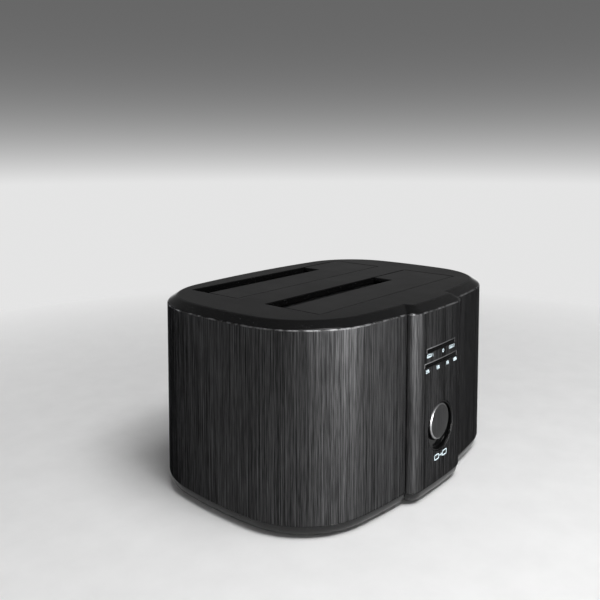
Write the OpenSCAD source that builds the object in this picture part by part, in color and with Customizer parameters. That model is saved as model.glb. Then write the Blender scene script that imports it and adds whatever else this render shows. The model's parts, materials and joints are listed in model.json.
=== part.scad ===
// Docking station for two bare drives: a bowed brushed sleeve closed by a bevelled lid and a
// glossy base, with a raised front panel, two sprung bay flaps and the boards inside.
// Millimetres, +Z up, +X to the right seen from the front, -Y towards the front.
// The origin is on the desk, in the middle of the whole footprint.

/* [Body] */
// From the end of a bay to the side of the body
side_margin = 22.5; // [21:0.5:28]
// From the rear bay's back edge to the back of the body
back_margin = 14.5; // [13.5:0.5:18]
// Height of the brushed wall
wall_h = 72; // [70:0.5:82]
// Thickness of the moulded wall
wall_t = 2.5; // [2.2:0.1:3]
// How far the front bows out between its corners
front_bow = 10; // [8:0.5:11]
// How far the back bows out between its corners
back_bow = 7; // [5:0.5:8]
// How far each side bows out between its corners
side_bow = 7.4; // [6:0.2:8.4]
// Radius of the four plan corners
corner_r = 35; // [31:0.5:37]
// Gap between a locating rim and the wall it slides into
rim_gap = 0.3; // [0.1:0.05:0.4]
// Thickness of the locating rims of the lid and the base
rim_t = 1.7; // [1.4:0.1:2.2]
// How deep the locating rims reach into the sleeve
rim_reach = 3; // [2:0.2:4]

/* [Lid] */
// Thickness of the lid, which is also the height of its bevel
bevel_h = 2.6; // [2.2:0.1:3.4]
// Width of the bevel seen from above
bevel_w = 4.2; // [3:0.1:5]

/* [Base] */
// Height of the glossy base below the brushed wall
base_h = 4.2; // [3.8:0.1:5.5]
// How far the lower edge of the base draws in
base_in = 3; // [2:0.1:4]
// How far the top of the base stands back from the wall
base_reveal = 0.4; // [0.2:0.1:0.8]
// Thickness of the floor of the base
floor_t = 2.2; // [1.8:0.1:2.6]
// How far the rubber feet stand below the base
foot_h = 1; // [0.6:0.1:1.6]
// Diameter of a rubber foot
foot_d = 12; // [9:0.5:14]
// How deep a foot sits in the base
foot_seat = 1; // [0.6:0.1:1.2]
// Distance between left and right feet
foot_pitch_x = 92; // [80:1:96]
// Distance between front and back feet
foot_pitch_y = 60; // [50:1:64]

/* [Front panel] */
// Width of the raised panel
panel_w = 40.6; // [39.6:0.2:44]
// How far the panel stands out of the front
panel_out = 3.5; // [3:0.1:4.2]
// Width of the rounding along its two upright edges
panel_round = 6; // [5.6:0.1:6.2]
// Thickness of the panel
panel_t = 2.2; // [1.8:0.1:2.4]
// Groove between the panel and the sleeve
panel_groove = 0.3; // [0.2:0.05:0.5]
// How far the panel's lips reach behind the sleeve
lip_reach = 4; // [3:0.2:5]
// Thickness of those lips
lip_t = 1.5; // [1.2:0.1:1.8]
// Play between fixed pieces that slide together
fit = 0.1; // [0.05:0.01:0.15]

/* [Lights and button] */
// Length of the upper light window
upper_window_w = 22.6; // [20:0.2:24]
// Length of the lower light window
lower_window_w = 25.6; // [24:0.2:27]
// Height of both light windows
window_h = 1.4; // [1.2:0.1:2]
// How far the upper window lies below the wall's upper edge
upper_window_down = 16.2; // [15:0.1:18]
// Distance between the two light windows
window_pitch = 5.8; // [5:0.1:7]
// Distance between the lights of the upper row
upper_led_pitch = 9.3; // [8:0.1:9.8]
// Distance between the lights of the lower row
lower_led_pitch = 8; // [7:0.1:8.2]
// Diameter of the round recess around the button
recess_d = 20.4; // [19.8:0.1:21.4]
// Height of the recess's centre above the wall's lower edge
recess_z = 22.6; // [21.6:0.1:24]
// Depth of the recess
recess_depth = 2.4; // [2.2:0.1:2.8]
// Diameter of the button
button_d = 15.2; // [14.4:0.1:15.4]
// How far the button's centre lies above the recess's centre
button_up = 1.75; // [1.4:0.05:1.8]
// How far the button's rim lies behind the panel's face
button_sunk = 0.4; // [0.3:0.05:0.8]
// Play around the button
button_play = 0.3; // [0.2:0.05:0.35]
// Travel of the button
button_travel = 1; // [0.6:0.1:1.2]

/* [Bays] */
// Width of a bay's mouth
bay_w = 103; // [102.6:0.1:104]
// Depth of a bay's mouth, front to back
bay_d = 28; // [27.4:0.1:28.4]
// Distance between the two bays
bay_pitch = 43.5; // [43:0.1:44.5]
// Depth of a seated drive's lower edge below the lid's top
seat_depth = 48; // [46:0.5:50]
// Thickness of the cradle's walls and floor
cradle_t = 1.8; // [1.6:0.1:2]
// Play of the wells around the bay mouths
well_play = 0.5; // [0.4:0.05:0.8]
// Chamfer of the wells' outer corners, which clears the lid's rim
well_chamfer = 2.4; // [2.2:0.1:2.6]

/* [Flaps] */
// Thickness of a flap
flap_t = 1.8; // [1.6:0.1:2]
// Gap along the front and the sides of a flap
flap_gap = 0.3; // [0.25:0.05:0.4]
// Gap along the back edge of a flap, wide enough for its swing
flap_back_gap = 0.6; // [0.6:0.05:0.9]
// Width of the notch for slim drives
notch_w = 75.8; // [74:0.2:78]
// Depth of the notch for slim drives
notch_d = 10.5; // [10:0.1:11.5]
// How far an open flap stands inside the bay's front edge
flap_inside = 1; // [0.8:0.05:1.1]
// Diameter of the hinge rods
pin_d = 2; // [1.8:0.1:2.2]
// Running clearance of the flaps on their rods, on the radius
pin_play = 0.05; // [0.03:0.01:0.08]
// Diameter of the hinge knuckles
knuckle_d = 3.4; // [3.2:0.1:3.6]
// Length of a hinge knuckle
knuckle_w = 10; // [6:0.5:14]
// Distance between the two knuckles of a flap
knuckle_pitch = 80; // [60:1:84]
// Gap between a closed flap's arms and the lid that stops them
stop_gap = 0.15; // [0.1:0.01:0.2]
// Wire diameter of a flap spring
wire_d = 0.6; // [0.5:0.05:0.7]
// Mean coil diameter of a flap spring
coil_d = 3.2; // [3.1:0.05:3.4]
// Rise of the spring in one turn
coil_pitch = 1.15; // [1.12:0.01:1.4]
// Whole turns of the spring
coil_turns = 5; // [3:1:7]

/* [Boards] */
// Thickness of both circuit boards
board_t = 1.6; // [1.2:0.1:2]
// Room between the main board and the underside of the wells
under_room = 13.5; // [13:0.1:16]
// Width of the main board
board_w = 100; // [98:0.5:102]
// How far the main board reaches in front of the body's middle
board_front = 36; // [34:0.5:38]
// Width of the control board
control_w = 30; // [28.5:0.5:32]
// Room between the control board and the front well
control_gap = 2.3; // [2:0.1:4]
// Distance of the drive sockets in front of a bay's back edge
sata_ahead = 5; // [4.6:0.1:5.6]
// Place of the drive sockets to the left of the middle
sata_left = 19; // [17:0.5:21]
// Length of a drive socket
sata_w = 41; // [40.5:0.1:42]
// Depth of a drive socket, front to back
sata_d = 5; // [4.6:0.1:5.4]
// How far a drive socket stands above a seated drive's lower edge
sata_proud = 4.2; // [3.6:0.1:4.6]

/* [Back] */
// Depth of the flat recess for the sockets
port_recess = 3.5; // [3.3:0.1:3.8]
// Wall behind that recess
port_wall = 2.2; // [2:0.1:2.4]
// Place of the data socket, left or right of the middle
usb_x = 20; // [18:0.5:22]
// Place of the power inlet, left or right of the middle
dc_x = -2; // [-4:0.5:0]
// Place of the power switch, left or right of the middle
switch_x = -28; // [-29:0.5:-26]
// Tilt of the rocker to each side of its middle position
rocker_tilt = 8; // [6:0.5:9]

/* [Hidden] */
$fn = 64;
// Overlap that joins or cuts cleanly
eps = 0.2;
// Longer than any cut has to be
far = 200;

// Heights, from the desk up and from the lid down
wall_z = foot_h + base_h;
wall_top = wall_z + wall_h;
top_z = wall_top + bevel_h;
floor_z = foot_h + floor_t;
seat_z = top_z - seat_depth;
cradle_floor = seat_z - 1.5;
cradle_under = cradle_floor - cradle_t;
board_top = cradle_under - under_room;
board_z = board_top - board_t;
board_lift = board_z - floor_z;

// Stack behind the panel's face, from the recess to the control board
bezel_floor = 1.3;
bezel_gap = 0.3;
flange_t = 1;
stem_l = 0.5;
plunger_out = 1.7;
tact_h = 3.4;
stack = recess_depth + bezel_floor + bezel_gap + flange_t + stem_l + plunger_out + tact_h;

// Hinge, and the body that closes around the bays and the stack
knuckle_r = knuckle_d / 2;
knuckle_head = 0.5;
pin_r = pin_d / 2;
pin_drop = bevel_h + knuckle_head + knuckle_r;
pin_z = top_z - pin_drop;
pin_ahead = pin_drop - flap_inside;
pin_room = 2.4;
front_margin = pin_ahead + pin_room + cradle_t + control_gap + board_t + stack - panel_out;
body_w = bay_w + 2 * side_margin;
body_d = front_margin + bay_d + bay_pitch + back_margin;
bay_shift = (front_margin - back_margin) / 2;

// Arcs of the plan outline: each side is one bow, and equal rounds join the bows
half_w = body_w / 2;
half_d = body_d / 2;
front_r = bow_radius(half_w, front_bow);
back_r = bow_radius(half_w, back_bow);
side_r = bow_radius(half_d, side_bow);
front_c = [0, front_r - half_d];
back_c = [0, half_d - back_r];
side_c = [half_w - side_r, 0];
round_front_c = meeting(front_c, side_c, front_r - corner_r, side_r - corner_r, 1);
round_back_c = meeting(back_c, side_c, back_r - corner_r, side_r - corner_r, -1);
front_end = heading(front_c, round_front_c);
side_start = heading(side_c, round_front_c);
side_end = heading(side_c, round_back_c);
back_start = heading(back_c, round_back_c);

// Rims, lips and panel
rim_inset = wall_t + rim_gap;
lip_inset = wall_t + fit;
lip_zone = panel_w / 2 + lip_reach + 0.5;
panel_front = -half_d - panel_out;
base_steps = 4;

// Flaps and cradle
pin_skin = 0.6;
plate_rise = pin_drop - flap_t;
flap_reach = pin_ahead + bay_d - flap_back_gap;
flap_sweep = norm([flap_reach, pin_drop]);
well_x = bay_w / 2 + well_play;
cradle_x = well_x + cradle_t;
cradle_top = wall_top - 0.2;
rib_top = pin_z - flap_sweep - 2;
rib_t = 1.6;
rib_pitch = 60;
web_pitch = 40;
web_t = 2;
ear_x = cradle_x + 4.2;
ear_y = 14;
ear_r = 4;
ear_t = 2;
ear_z = wall_top - 8;

// Screws: shank radius, head radius and head height, with their holes
screw_r = 1.05;
screw_hole = 1.1;
screw_free = 1.4;
head_r = 2.2;
head_h = 1.6;
cross_l = 2.4;
cross_w = 0.6;
cross_deep = 0.8;
post_r = 4;
post_x = half_w - 14;
post_y = half_d - 22.5;
post_top = cradle_under - 1.5;
post_bite = 8;
head_sink = 4;
board_post_x = board_w / 2 - 6;
board_post_r = 3;

// Sockets at the back
port_y = half_d - port_recess;
port_in = port_y - port_wall;
port_z = board_top + 7;
port_left = switch_x - 12;
port_right = usb_x + 13;
port_low = port_z - 9;
port_high = port_z + 9;
pad_rim = 2;
board_back = port_in - 1;
socket_front = sata_y(1) + sata_d / 2 + 0.6;
usb_w = 12;
usb_h = 12.4;
usb_l = 17;
dc_w = 9;
dc_h = 11;
dc_l = port_in - socket_front;
dc_bore_r = 3.15;
dc_bore_l = dc_l - 2;
dc_pin_r = 1.05;
dc_bore_z = board_top + 6.2;
dc_mouth_r = 4;
usb_wall = 1.2;

// Power switch
switch_w = 12.6;
switch_h = 8.8;
switch_l = port_y - socket_front;
switch_well_w = 11.8;
switch_well_h = 7.2;
switch_flange = 1.2;
switch_edge = 1.2;
rocker_w = 10;
rocker_h = 6.6;
pivot_y = port_y - 2.5;
pivot_r = 1;
rocker_face = 4.1;
rocker_back = 2;

// Lights, button and control board, stacked behind the panel's face
window_flange = 1.2;
upper_z = wall_top - upper_window_down;
lower_z = upper_z - window_pitch;
hub_z = wall_z + recess_z;
button_z = hub_z + button_up;
bezel_back = panel_front + recess_depth + bezel_floor;
flange_front = bezel_back + bezel_gap;
button_back = flange_front + flange_t + stem_l;
plunger_r = 1.7;
plunger_in = 0.5;
tact_w = 6.2;
tact_front = button_back + plunger_out;
control_y = panel_front + stack;
control_low = board_top + 1;
control_high = wall_top - 5.2;
control_post_x = 11.5;
control_post_high = wall_top - 9.4;
control_post_low = lower_z - 11;
control_post_r = 2.4;
led_w = 1.6;
led_h = 0.8;
led_t = 0.8;
light_gap = 0.4;

// Drive sockets: power slot on the left, signal slot on the right
sata_slot_d = 2;
sata_slot_deep = 5;
sata_foot = 1.5;
power_slot = [-7.2, 21, 15];
signal_slot = [13, 10.4, 7];
contact_pitch = 1.27;
contact_w = 0.7;
contact_t = 0.3;

// Ribbon cable between the boards
ribbon_w = 14;
ribbon_t = 0.8;
ribbon_arch = 3;
ribbon_steps = 12;
header_w = 16;
control_header = [2.4, 5];
main_header = [5, 4.4];
control_header_z = control_low + 2.2;
main_header_y = -board_front + 2;

// Parts on the main board
chip_w = 12;
chip_t = 1.4;
chip_at = [board_w / 4 - 1, 16 - board_front];
can_d = 6.3;
can_base = 6.6;
can_h = under_room - 5.8;
can_x = board_w / 2 - 12;
can_pitch = 12;
can_spots = [[can_x, chip_at[1]], [can_x, chip_at[1] + can_pitch],
  [4 - can_x, 3 * can_pitch - board_front], [can_x, board_back - 22]];
coil_block = 7;
coil_h = 4;
coil_gap = 3;
coil_at = chip_at + [0, chip_w + coil_block];

// Flap springs
wire_r = wire_d / 2;
coil_r = coil_d / 2;
coil_sides = 6;
coil_rings = 8;
fixed_leg = 8;
flap_leg = 14;

// Radius of a bow that rises by sag over a half chord
function bow_radius(half, sag) = (half * half + sag * sag) / (2 * sag);

// Point at distances r1 from p and r2 from q, on the chosen side of the line from p to q
function meeting(p, q, r1, r2, side) =
  let (d = norm(q - p), e = (q - p) / d, u = (r1 * r1 - r2 * r2 + d * d) / (2 * d))
  p + u * e + side * sqrt(r1 * r1 - u * u) * [-e[1], e[0]];

// Direction from one point to another, in degrees
function heading(from, to) = atan2(to[1] - from[1], to[0] - from[0]);

// Points along an arc, without its first point
function arc(c, r, from, to, n) =
  [for (i = [1:n]) let (t = from + (to - from) * i / n) c + r * [cos(t), sin(t)]];

// Front bow at x, drawn in by an inset
function front_y(x, inset) = front_c[1] - sqrt(pow(front_r - inset, 2) - x * x);

// Half of the raised panel's outline, from its middle to the groove
function panel_half(inset) =
  let (edge = panel_w / 2 - panel_round)
  concat(
    [for (i = [0:6]) let (x = edge * i / 6) [x, front_y(x, inset) - panel_out]],
    [for (t = [15:15:90]) let (x = edge + (panel_round - inset) * sin(t))
      [x, front_y(x, inset) - panel_out * cos(t)]]);

// Right half of the outline from a start on the front bow to the middle of the back
function right_half(inset, from) = concat(
  arc(front_c, front_r - inset, from, front_end, 6),
  arc(round_front_c, corner_r - inset, front_end, side_start, 12),
  arc(side_c, side_r - inset, side_start, side_end, 8),
  arc(round_back_c, corner_r - inset, side_end, back_start, 12),
  arc(back_c, back_r - inset, back_start, 90, 8));

// A right half mirrored to a closed outline
function both_sides(half) =
  concat(half, [for (i = [len(half) - 2:-1:1]) [-half[i][0], half[i][1]]]);

// Plan outline of the sleeve, and of the lid and base, which follow the panel too
function sleeve(inset) = both_sides(concat([[0, inset - half_d]], right_half(inset, -90)));
function rim(inset) = both_sides(concat(panel_half(inset),
  right_half(inset, asin((panel_w / 2 - inset) / (front_r - inset)) - 90)));

// Bay 0 is the front one, bay 1 the rear one
function bay_front(k) = bay_shift + (k - 0.5) * bay_pitch - bay_d / 2;
function bay_back(k) = bay_front(k) + bay_d;
function pin_y(k) = bay_front(k) - pin_ahead;
function well_front(k) = pin_y(k) - pin_room;
function well_back(k) = bay_back(k) + well_play;
function sata_y(k) = bay_back(k) - sata_ahead;

// Moves the body's own middle so that the whole footprint is centred on the origin
module centred() {
  translate([0, panel_out / 2, 0]) children();
}

// A plan outline between two heights
module slab(points, low, high) {
  translate([0, 0, low]) linear_extrude(high - low) polygon(points);
}

// A rectangle between two corners, with its own corners cut off
function chamfered(low, high, cut) = [
  [low[0] + cut, low[1]], [high[0] - cut, low[1]], [high[0], low[1] + cut], [high[0], high[1] - cut],
  [high[0] - cut, high[1]], [low[0] + cut, high[1]], [low[0], high[1] - cut], [low[0], low[1] + cut]
];

// A box between two corners
module block(low, high) {
  translate(low) cube(high - low);
}

// A round bar along X, along Y or along Z, from a point
module bar_x(at, r, l) {
  translate(at) rotate([0, 90, 0]) cylinder(r = r, h = l);
}
module bar_y(at, r, l) {
  translate(at) rotate([-90, 0, 0]) cylinder(r = r, h = l);
}
module bar_z(at, r, l) {
  translate(at) cylinder(r = r, h = l);
}

// A skin over stacked outlines, each given as its height and its points
module loft(rings) {
  n = len(rings[0][1]);
  last = (len(rings) - 1) * n;
  points = [for (r = rings) for (p = r[1]) [p[0], p[1], r[0]]];
  sides = [for (k = [0:n:last - n]) for (i = [0:n - 1]) let (j = (i + 1) % n)
    each [[k + i, k + n + i, k + n + j], [k + i, k + n + j, k + j]]];
  caps = [[for (i = [0:n - 1]) i], [for (i = [n - 1:-1:0]) last + i]];
  polyhedron(points, concat(sides, caps));
}

// A round tube of few sides along a path that stays close to square with X
module wire(path, r, sides) {
  n = len(path);
  points = [for (i = [0:n - 1]) let (
      a = path[max(i - 1, 0)], b = path[min(i + 1, n - 1)], t = (b - a) / norm(b - a),
      u0 = [1, 0, 0] - t[0] * t, u = u0 / norm(u0), v = cross(t, u))
    for (s = [0:sides - 1]) path[i] + r * (cos(360 * s / sides) * u + sin(360 * s / sides) * v)];
  skin = [for (i = [0:n - 2]) for (s = [0:sides - 1])
    let (k = i * sides, q = (s + 1) % sides)
    each [[k + s, k + sides + q, k + q], [k + s, k + sides + s, k + sides + q]]];
  ends = [[for (s = [0:sides - 1]) s], [for (s = [sides - 1:-1:0]) (n - 1) * sides + s]];
  polyhedron(points, concat(skin, ends));
}

// A cross-head screw that points up from its head's seat
module screw(at, l) {
  bar_z(at, screw_r, l);
  translate(at - [0, 0, head_h]) difference() {
    cylinder(r1 = head_r * 0.8, r2 = head_r, h = head_h);
    for (a = [0, 90]) rotate([0, 0, a])
      block([-cross_l / 2, -cross_w / 2, -1], [cross_l / 2, cross_w / 2, cross_deep]);
  }
}

// The four places of a rectangular pattern
module corners(x, y) {
  for (sx = [-1, 1], sy = [-1, 1]) translate([sx * x, sy * y, 0]) children();
}

// Brushed sleeve: the four bowed walls, open above, below and where the panel stands
module outer_shell() centred() color("#232325") difference() {
  union() {
    difference() {
      slab(sleeve(0), wall_z, wall_top);
      slab(sleeve(wall_t), wall_z - eps, wall_top + eps);
    }
    intersection() {
      slab(sleeve(0), wall_z, wall_top);
      block([port_left - pad_rim, port_in, port_low - pad_rim],
        [port_right + pad_rim, half_d, port_high + pad_rim]);
    }
    corners(post_x, post_y) bar_z([0, 0, wall_z + rim_reach], post_r, post_top - wall_z - rim_reach);
    intersection() {
      slab(sleeve(wall_t / 2), wall_z + rim_reach + 1, post_top);
      for (sx = [-1, 1], sy = [-1, 1])
        translate([sx > 0 ? post_x : -post_x - far, sy * post_y - 1, 0]) cube([far, 2, far]);
    }
  }
  block([-panel_w / 2 - panel_groove, -far, 0], [panel_w / 2 + panel_groove, -half_d / 2, far]);
  block([port_left, port_y, port_low], [port_right, far, port_high]);
  block([usb_x - usb_w / 2 - fit, 0, board_top - fit],
    [usb_x + usb_w / 2 + fit, far, board_top + usb_h + fit]);
  bar_y([dc_x, port_in - eps, dc_bore_z], dc_mouth_r, far);
  block([switch_x - switch_w / 2 - fit, port_in - eps, port_z - switch_h / 2 - fit],
    [switch_x + switch_w / 2 + fit, far, port_z + switch_h / 2 + fit]);
  corners(post_x, post_y) bar_z([0, 0, 0], screw_hole, wall_z + rim_reach + post_bite + 2);
}

// Raised panel: a bowed channel with rounded edges, lips behind the sleeve and board posts
module front_panel() centred() color("#2a2a2c") difference() {
  union() {
    difference() {
      slab(panel_plan(0, lip_inset + lip_t), wall_z, wall_top);
      slab(panel_plan(panel_t, half_d), wall_z - eps, wall_top + eps);
    }
    for (sx = [-1, 1]) mirror([sx < 0 ? 1 : 0, 0, 0]) slab(lip_plan(), wall_z, wall_top);
    panel_posts() bar_y([0, panel_front + panel_t - 0.6, 0], control_post_r,
      control_y - panel_front - panel_t + 0.6);
  }
  window_cut(upper_window_w, upper_z);
  window_cut(lower_window_w, lower_z);
  bar_y([0, panel_front - 1, hub_z], recess_d / 2, panel_t + 2);
  panel_posts() bar_y([0, control_y - 5, 0], screw_hole, far);
}

// The panel's plan: its face from a depth inside the outline to a line at a back inset
function panel_plan(inset, back) =
  let (half = panel_half(inset), x = panel_w / 2 - inset)
  concat([for (i = [len(half) - 1:-1:1]) [-half[i][0], half[i][1]]], half,
    [[x, front_y(x, back)], [-x, front_y(x, back)]]);

// One lip behind the sleeve, on the right
function lip_plan() =
  let (from = panel_w / 2 - panel_t, to = panel_w / 2 + lip_reach, n = 4)
  concat([for (i = [0:n]) let (x = from + (to - from) * i / n) [x, front_y(x, lip_inset)]],
    [for (i = [n:-1:0]) let (x = from + (to - from) * i / n) [x, front_y(x, lip_inset + lip_t)]]);

module window_cut(w, z) {
  block([-w / 2, panel_front - 1, z - window_h / 2], [w / 2, panel_front + panel_t + 1, z + window_h / 2]);
}

module panel_posts() {
  for (sx = [-1, 1], z = [control_post_low, control_post_high])
    translate([sx * control_post_x, 0, z]) children();
}

// Bevelled lid with two bay mouths, a locating rim and bosses for the cradle's screws
module top_cover() centred() color("#161617") difference() {
  union() {
    loft([[wall_top, rim(0)], [top_z, rim(bevel_w)]]);
    locating_rim(wall_top - rim_reach, wall_top + eps);
    corners(ear_x, ear_y) bar_z([0, 0, ear_z + ear_t], ear_r - 0.8, wall_top + eps - ear_z - ear_t);
  }
  for (k = [0, 1])
    block([-bay_w / 2, bay_front(k), wall_top - eps], [bay_w / 2, bay_back(k), far]);
  corners(ear_x, ear_y) bar_z([0, 0, ear_z], screw_hole, wall_top - ear_z);
}

// Rim that slides into the sleeve, left open where the panel's lips stand
module locating_rim(low, high) {
  difference() {
    slab(sleeve(rim_inset), low, high);
    slab(sleeve(rim_inset + rim_t), low - eps, high + eps);
    block([-lip_zone, -far, low - 1], [lip_zone, -half_d / 2, high + 1]);
  }
}

// Glossy base: a tray with a rounded lower edge, foot seats, screw wells and board posts
module base_tray() centred() color("#0e0e0f") difference() {
  union() {
    difference() {
      loft([for (i = [0:base_steps]) let (t = 90 * i / base_steps)
        [foot_h + base_h * (1 - cos(t)), rim(base_reveal + (base_in - base_reveal) * (1 - sin(t)))]]);
      slab(sleeve(rim_inset + rim_t), floor_z, far);
    }
    locating_rim(wall_z - eps, wall_z + rim_reach);
    corners(post_x, post_y) bar_z([0, 0, floor_z - eps], post_r, wall_z + rim_reach - floor_z + eps);
    board_posts() bar_z([0, 0, floor_z - eps], board_post_r, board_lift + eps);
  }
  corners(foot_pitch_x / 2, foot_pitch_y / 2) bar_z([0, 0, 0], foot_d / 2 + fit, foot_h + foot_seat);
  corners(post_x, post_y) bar_z([0, 0, 0], screw_free, far);
  corners(post_x, post_y) bar_z([0, 0, 0], head_r + 0.5, foot_h + head_sink);
  board_posts() bar_z([0, 0, floor_z + board_lift * 0.2], screw_hole, far);
  block([port_left - pad_rim - 1, port_in - 1, wall_z], [port_right + pad_rim + 1, far, far]);
}

module board_posts() {
  for (sx = [-1, 1], y = [-board_front + 5, board_back - 6])
    translate([sx * board_post_x, y, 0]) children();
}

// Four round rubber feet with a softened lower edge
module rubber_feet() centred() color("#3a3a3c")
  corners(foot_pitch_x / 2, foot_pitch_y / 2) rotate_extrude() polygon(concat(
    [[0, 0]], [for (t = [0:15:90]) [foot_d / 2 - 0.6 * (1 - sin(t)), 0.6 * (1 - cos(t))]],
    [[foot_d / 2, foot_h + foot_seat], [0, foot_h + foot_seat]]));

module base_screws() centred() color("silver")
  corners(post_x, post_y)
    screw([0, 0, foot_h + head_sink], wall_z + rim_reach + post_bite - foot_h - head_sink);

// Cradle: two wells with socket windows, hinge-rod seats, guide ribs and screw ears
module drive_cradle() centred() color("#1d1d1f") difference() {
  union() {
    for (k = [0, 1]) well(k);
    for (x = [-web_pitch, 0, web_pitch])
      block([x - web_t / 2, well_back(0) + cradle_t - eps, cradle_floor - cradle_t],
        [x + web_t / 2, well_front(1) - cradle_t + eps, cradle_top]);
    corners(ear_x, ear_y) bar_z([0, 0, ear_z], ear_r, ear_t);
    for (sx = [-1, 1], sy = [-1, 1]) mirror([sx < 0 ? 1 : 0, 0, 0])
      block([cradle_x - eps, sy * ear_y - ear_r, ear_z], [ear_x, sy * ear_y + ear_r, ear_z + ear_t]);
  }
  corners(ear_x, ear_y) bar_z([0, 0, ear_z - 1], screw_free, ear_t + 2);
}

module well(k) {
  difference() {
    slab(chamfered([-cradle_x, well_front(k) - cradle_t], [cradle_x, well_back(k) + cradle_t], well_chamfer),
      cradle_floor - cradle_t, cradle_top);
    block([-well_x, well_front(k), cradle_floor], [well_x, well_back(k), far]);
    block([-sata_left - sata_w / 2 - fit, sata_y(k) - sata_d / 2 - fit, 0],
      [-sata_left + sata_w / 2 + fit, sata_y(k) + sata_d / 2 + fit, far]);
    bar_x([pin_skin - cradle_x, pin_y(k), pin_z], pin_r + pin_play, 2 * (cradle_x - pin_skin));
    block([pin_skin - cradle_x, pin_y(k) - pin_r - pin_play, pin_z],
      [cradle_x - pin_skin, pin_y(k) + pin_r + pin_play, far]);
  }
  for (sx = [-1, 1])
    block([sx * rib_pitch / 2 - rib_t / 2, well_front(k) - eps, cradle_floor - eps],
      [sx * rib_pitch / 2 + rib_t / 2, bay_front(k) + flap_inside - 0.6, rib_top]);
}

module cradle_screws() centred() color("silver")
  corners(ear_x, ear_y) screw([0, 0, ear_z], wall_top - 1 - ear_z);

// Sprung flap: an L-shaped plate with a notch, two hinge arms, a stiffener and a spring seat
module flap(k) {
  left = flap_gap - bay_w / 2;
  right = -left;
  front = bay_front(k) + flap_gap;
  notch_y = bay_back(k) - notch_d;
  seat = pin_z + coil_r + wire_r + pin_play;
  color("#151516") difference() {
    union() {
      slab([[left, front], [right, front], [right, bay_back(k) - flap_back_gap],
        [notch_w - bay_w / 2, bay_back(k) - flap_back_gap], [notch_w - bay_w / 2, notch_y],
        [left, notch_y]], top_z - flap_t, top_z);
      for (sx = [-1, 1]) translate([sx * knuckle_pitch / 2 - knuckle_w / 2, pin_y(k), pin_z])
        rotate([90, 0, 90]) linear_extrude(knuckle_w) hinge_arm();
      block([left + 3, notch_y - 2.2, top_z - flap_t - 1.2],
        [right - 3, notch_y - 1, top_z - flap_t + eps]);
      block([spring_end() - 1.5, front + 3, seat], [spring_end() + 1.5, front + 9, top_z - flap_t + eps]);
    }
    bar_x([-bay_w / 2, pin_y(k), pin_z], pin_r + pin_play, bay_w);
  }
}

// Side view of a hinge arm about the rod: its knuckle, and an arm that passes under the lid
module hinge_arm() {
  arm = pin_ahead + 5;
  stop = pin_drop - bevel_h - stop_gap;
  circle(r = knuckle_r);
  polygon([[0, -knuckle_r * 0.7], [arm, plate_rise - 1.4], [arm, plate_rise + eps],
    [pin_ahead + flap_gap, plate_rise + eps], [pin_ahead + flap_gap, stop], [0, stop]]);
}

module front_flap() centred() flap(0);
module rear_flap() centred() flap(1);

// Steel hinge rods, held in the cradle's blind seats
module hinge_pin(k) {
  half = cradle_x - pin_skin - 0.15;
  color("silver") bar_x([-half, pin_y(k), pin_z], pin_r, 2 * half);
}
module front_hinge_pin() centred() hinge_pin(0);
module rear_hinge_pin() centred() hinge_pin(1);

// Torsion spring: a leg down the cradle's wall, turns round the rod and a leg under the flap
function spring_end() = coil_pitch * (coil_turns + 0.25) / 2;
function spring_turns() = [for (i = [0:coil_rings * coil_turns + coil_rings / 4])
  let (turn = i / coil_rings, t = 180 - 360 * turn)
  [coil_pitch * turn - spring_end(), coil_r * cos(t), coil_r * sin(t)]];
function spring_path() = concat(
  [[-spring_end(), -coil_r, -fixed_leg], [-spring_end(), -coil_r, -fixed_leg / 2]], spring_turns(),
  [[spring_end(), flap_leg / 2, coil_r], [spring_end(), flap_leg, coil_r]]);
function spring_gap() = let (p = spring_turns())
  min([for (i = [0:len(p) - 1]) for (j = [i + coil_rings / 2:1:len(p) - 1]) norm(p[i] - p[j])]) - wire_d;
module flap_spring(k) {
  echo(least_gap_between_spring_turns = spring_gap());
  color("gainsboro") translate([0, pin_y(k), pin_z]) wire(spring_path(), wire_r, coil_sides);
}
module front_flap_spring() centred() flap_spring(0);
module rear_flap_spring() centred() flap_spring(1);

// Main board on the base's posts, with its back corners cut
module main_board() centred() color("#1f5a36") difference() {
  cut = 6;
  slab([[-board_w / 2, -board_front], [board_w / 2, -board_front], [board_w / 2, board_back - cut],
    [board_w / 2 - cut, board_back], [cut - board_w / 2, board_back], [-board_w / 2, board_back - cut]],
    board_z, board_top);
  board_posts() bar_z([0, 0, 0], screw_free, far);
}

module board_screws() centred() color("silver")
  board_posts() translate([0, 0, board_top]) mirror([0, 0, 1])
    screw([0, 0, 0], board_t + board_lift * 0.6);

// Controller chip with a pin-one dimple
module bridge_chip() centred() color("#202022") difference() {
  translate([chip_at[0], chip_at[1], board_top]) {
    block([-chip_w / 2, -chip_w / 2, 0], [chip_w / 2, chip_w / 2, chip_t]);
  }
  bar_z([chip_at[0] - chip_w / 2 + 2, chip_at[1] + chip_w / 2 - 2, board_top + chip_t - 0.2], 0.7, 1);
}

// Capacitor cans on square bases
module filter_capacitors() centred() color("lightgray")
  for (at = can_spots) translate([at[0], at[1], board_top]) {
    block([-can_base / 2, -can_base / 2, 0], [can_base / 2, can_base / 2, 0.8]);
    bar_z([0, 0, 0.4], can_d / 2, can_h - 0.4);
  }

// Shielded power coils
module power_inductors() centred() color("#3b3b3d")
  for (i = [-1, 0]) translate([coil_at[0] + i * (coil_block + coil_gap), coil_at[1], board_top])
    intersection() {
      block([-coil_block / 2, -coil_block / 2, 0], [coil_block / 2, coil_block / 2, coil_h]);
      bar_z([0, 0, 0], coil_block * 0.63, coil_h);
    }

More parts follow.
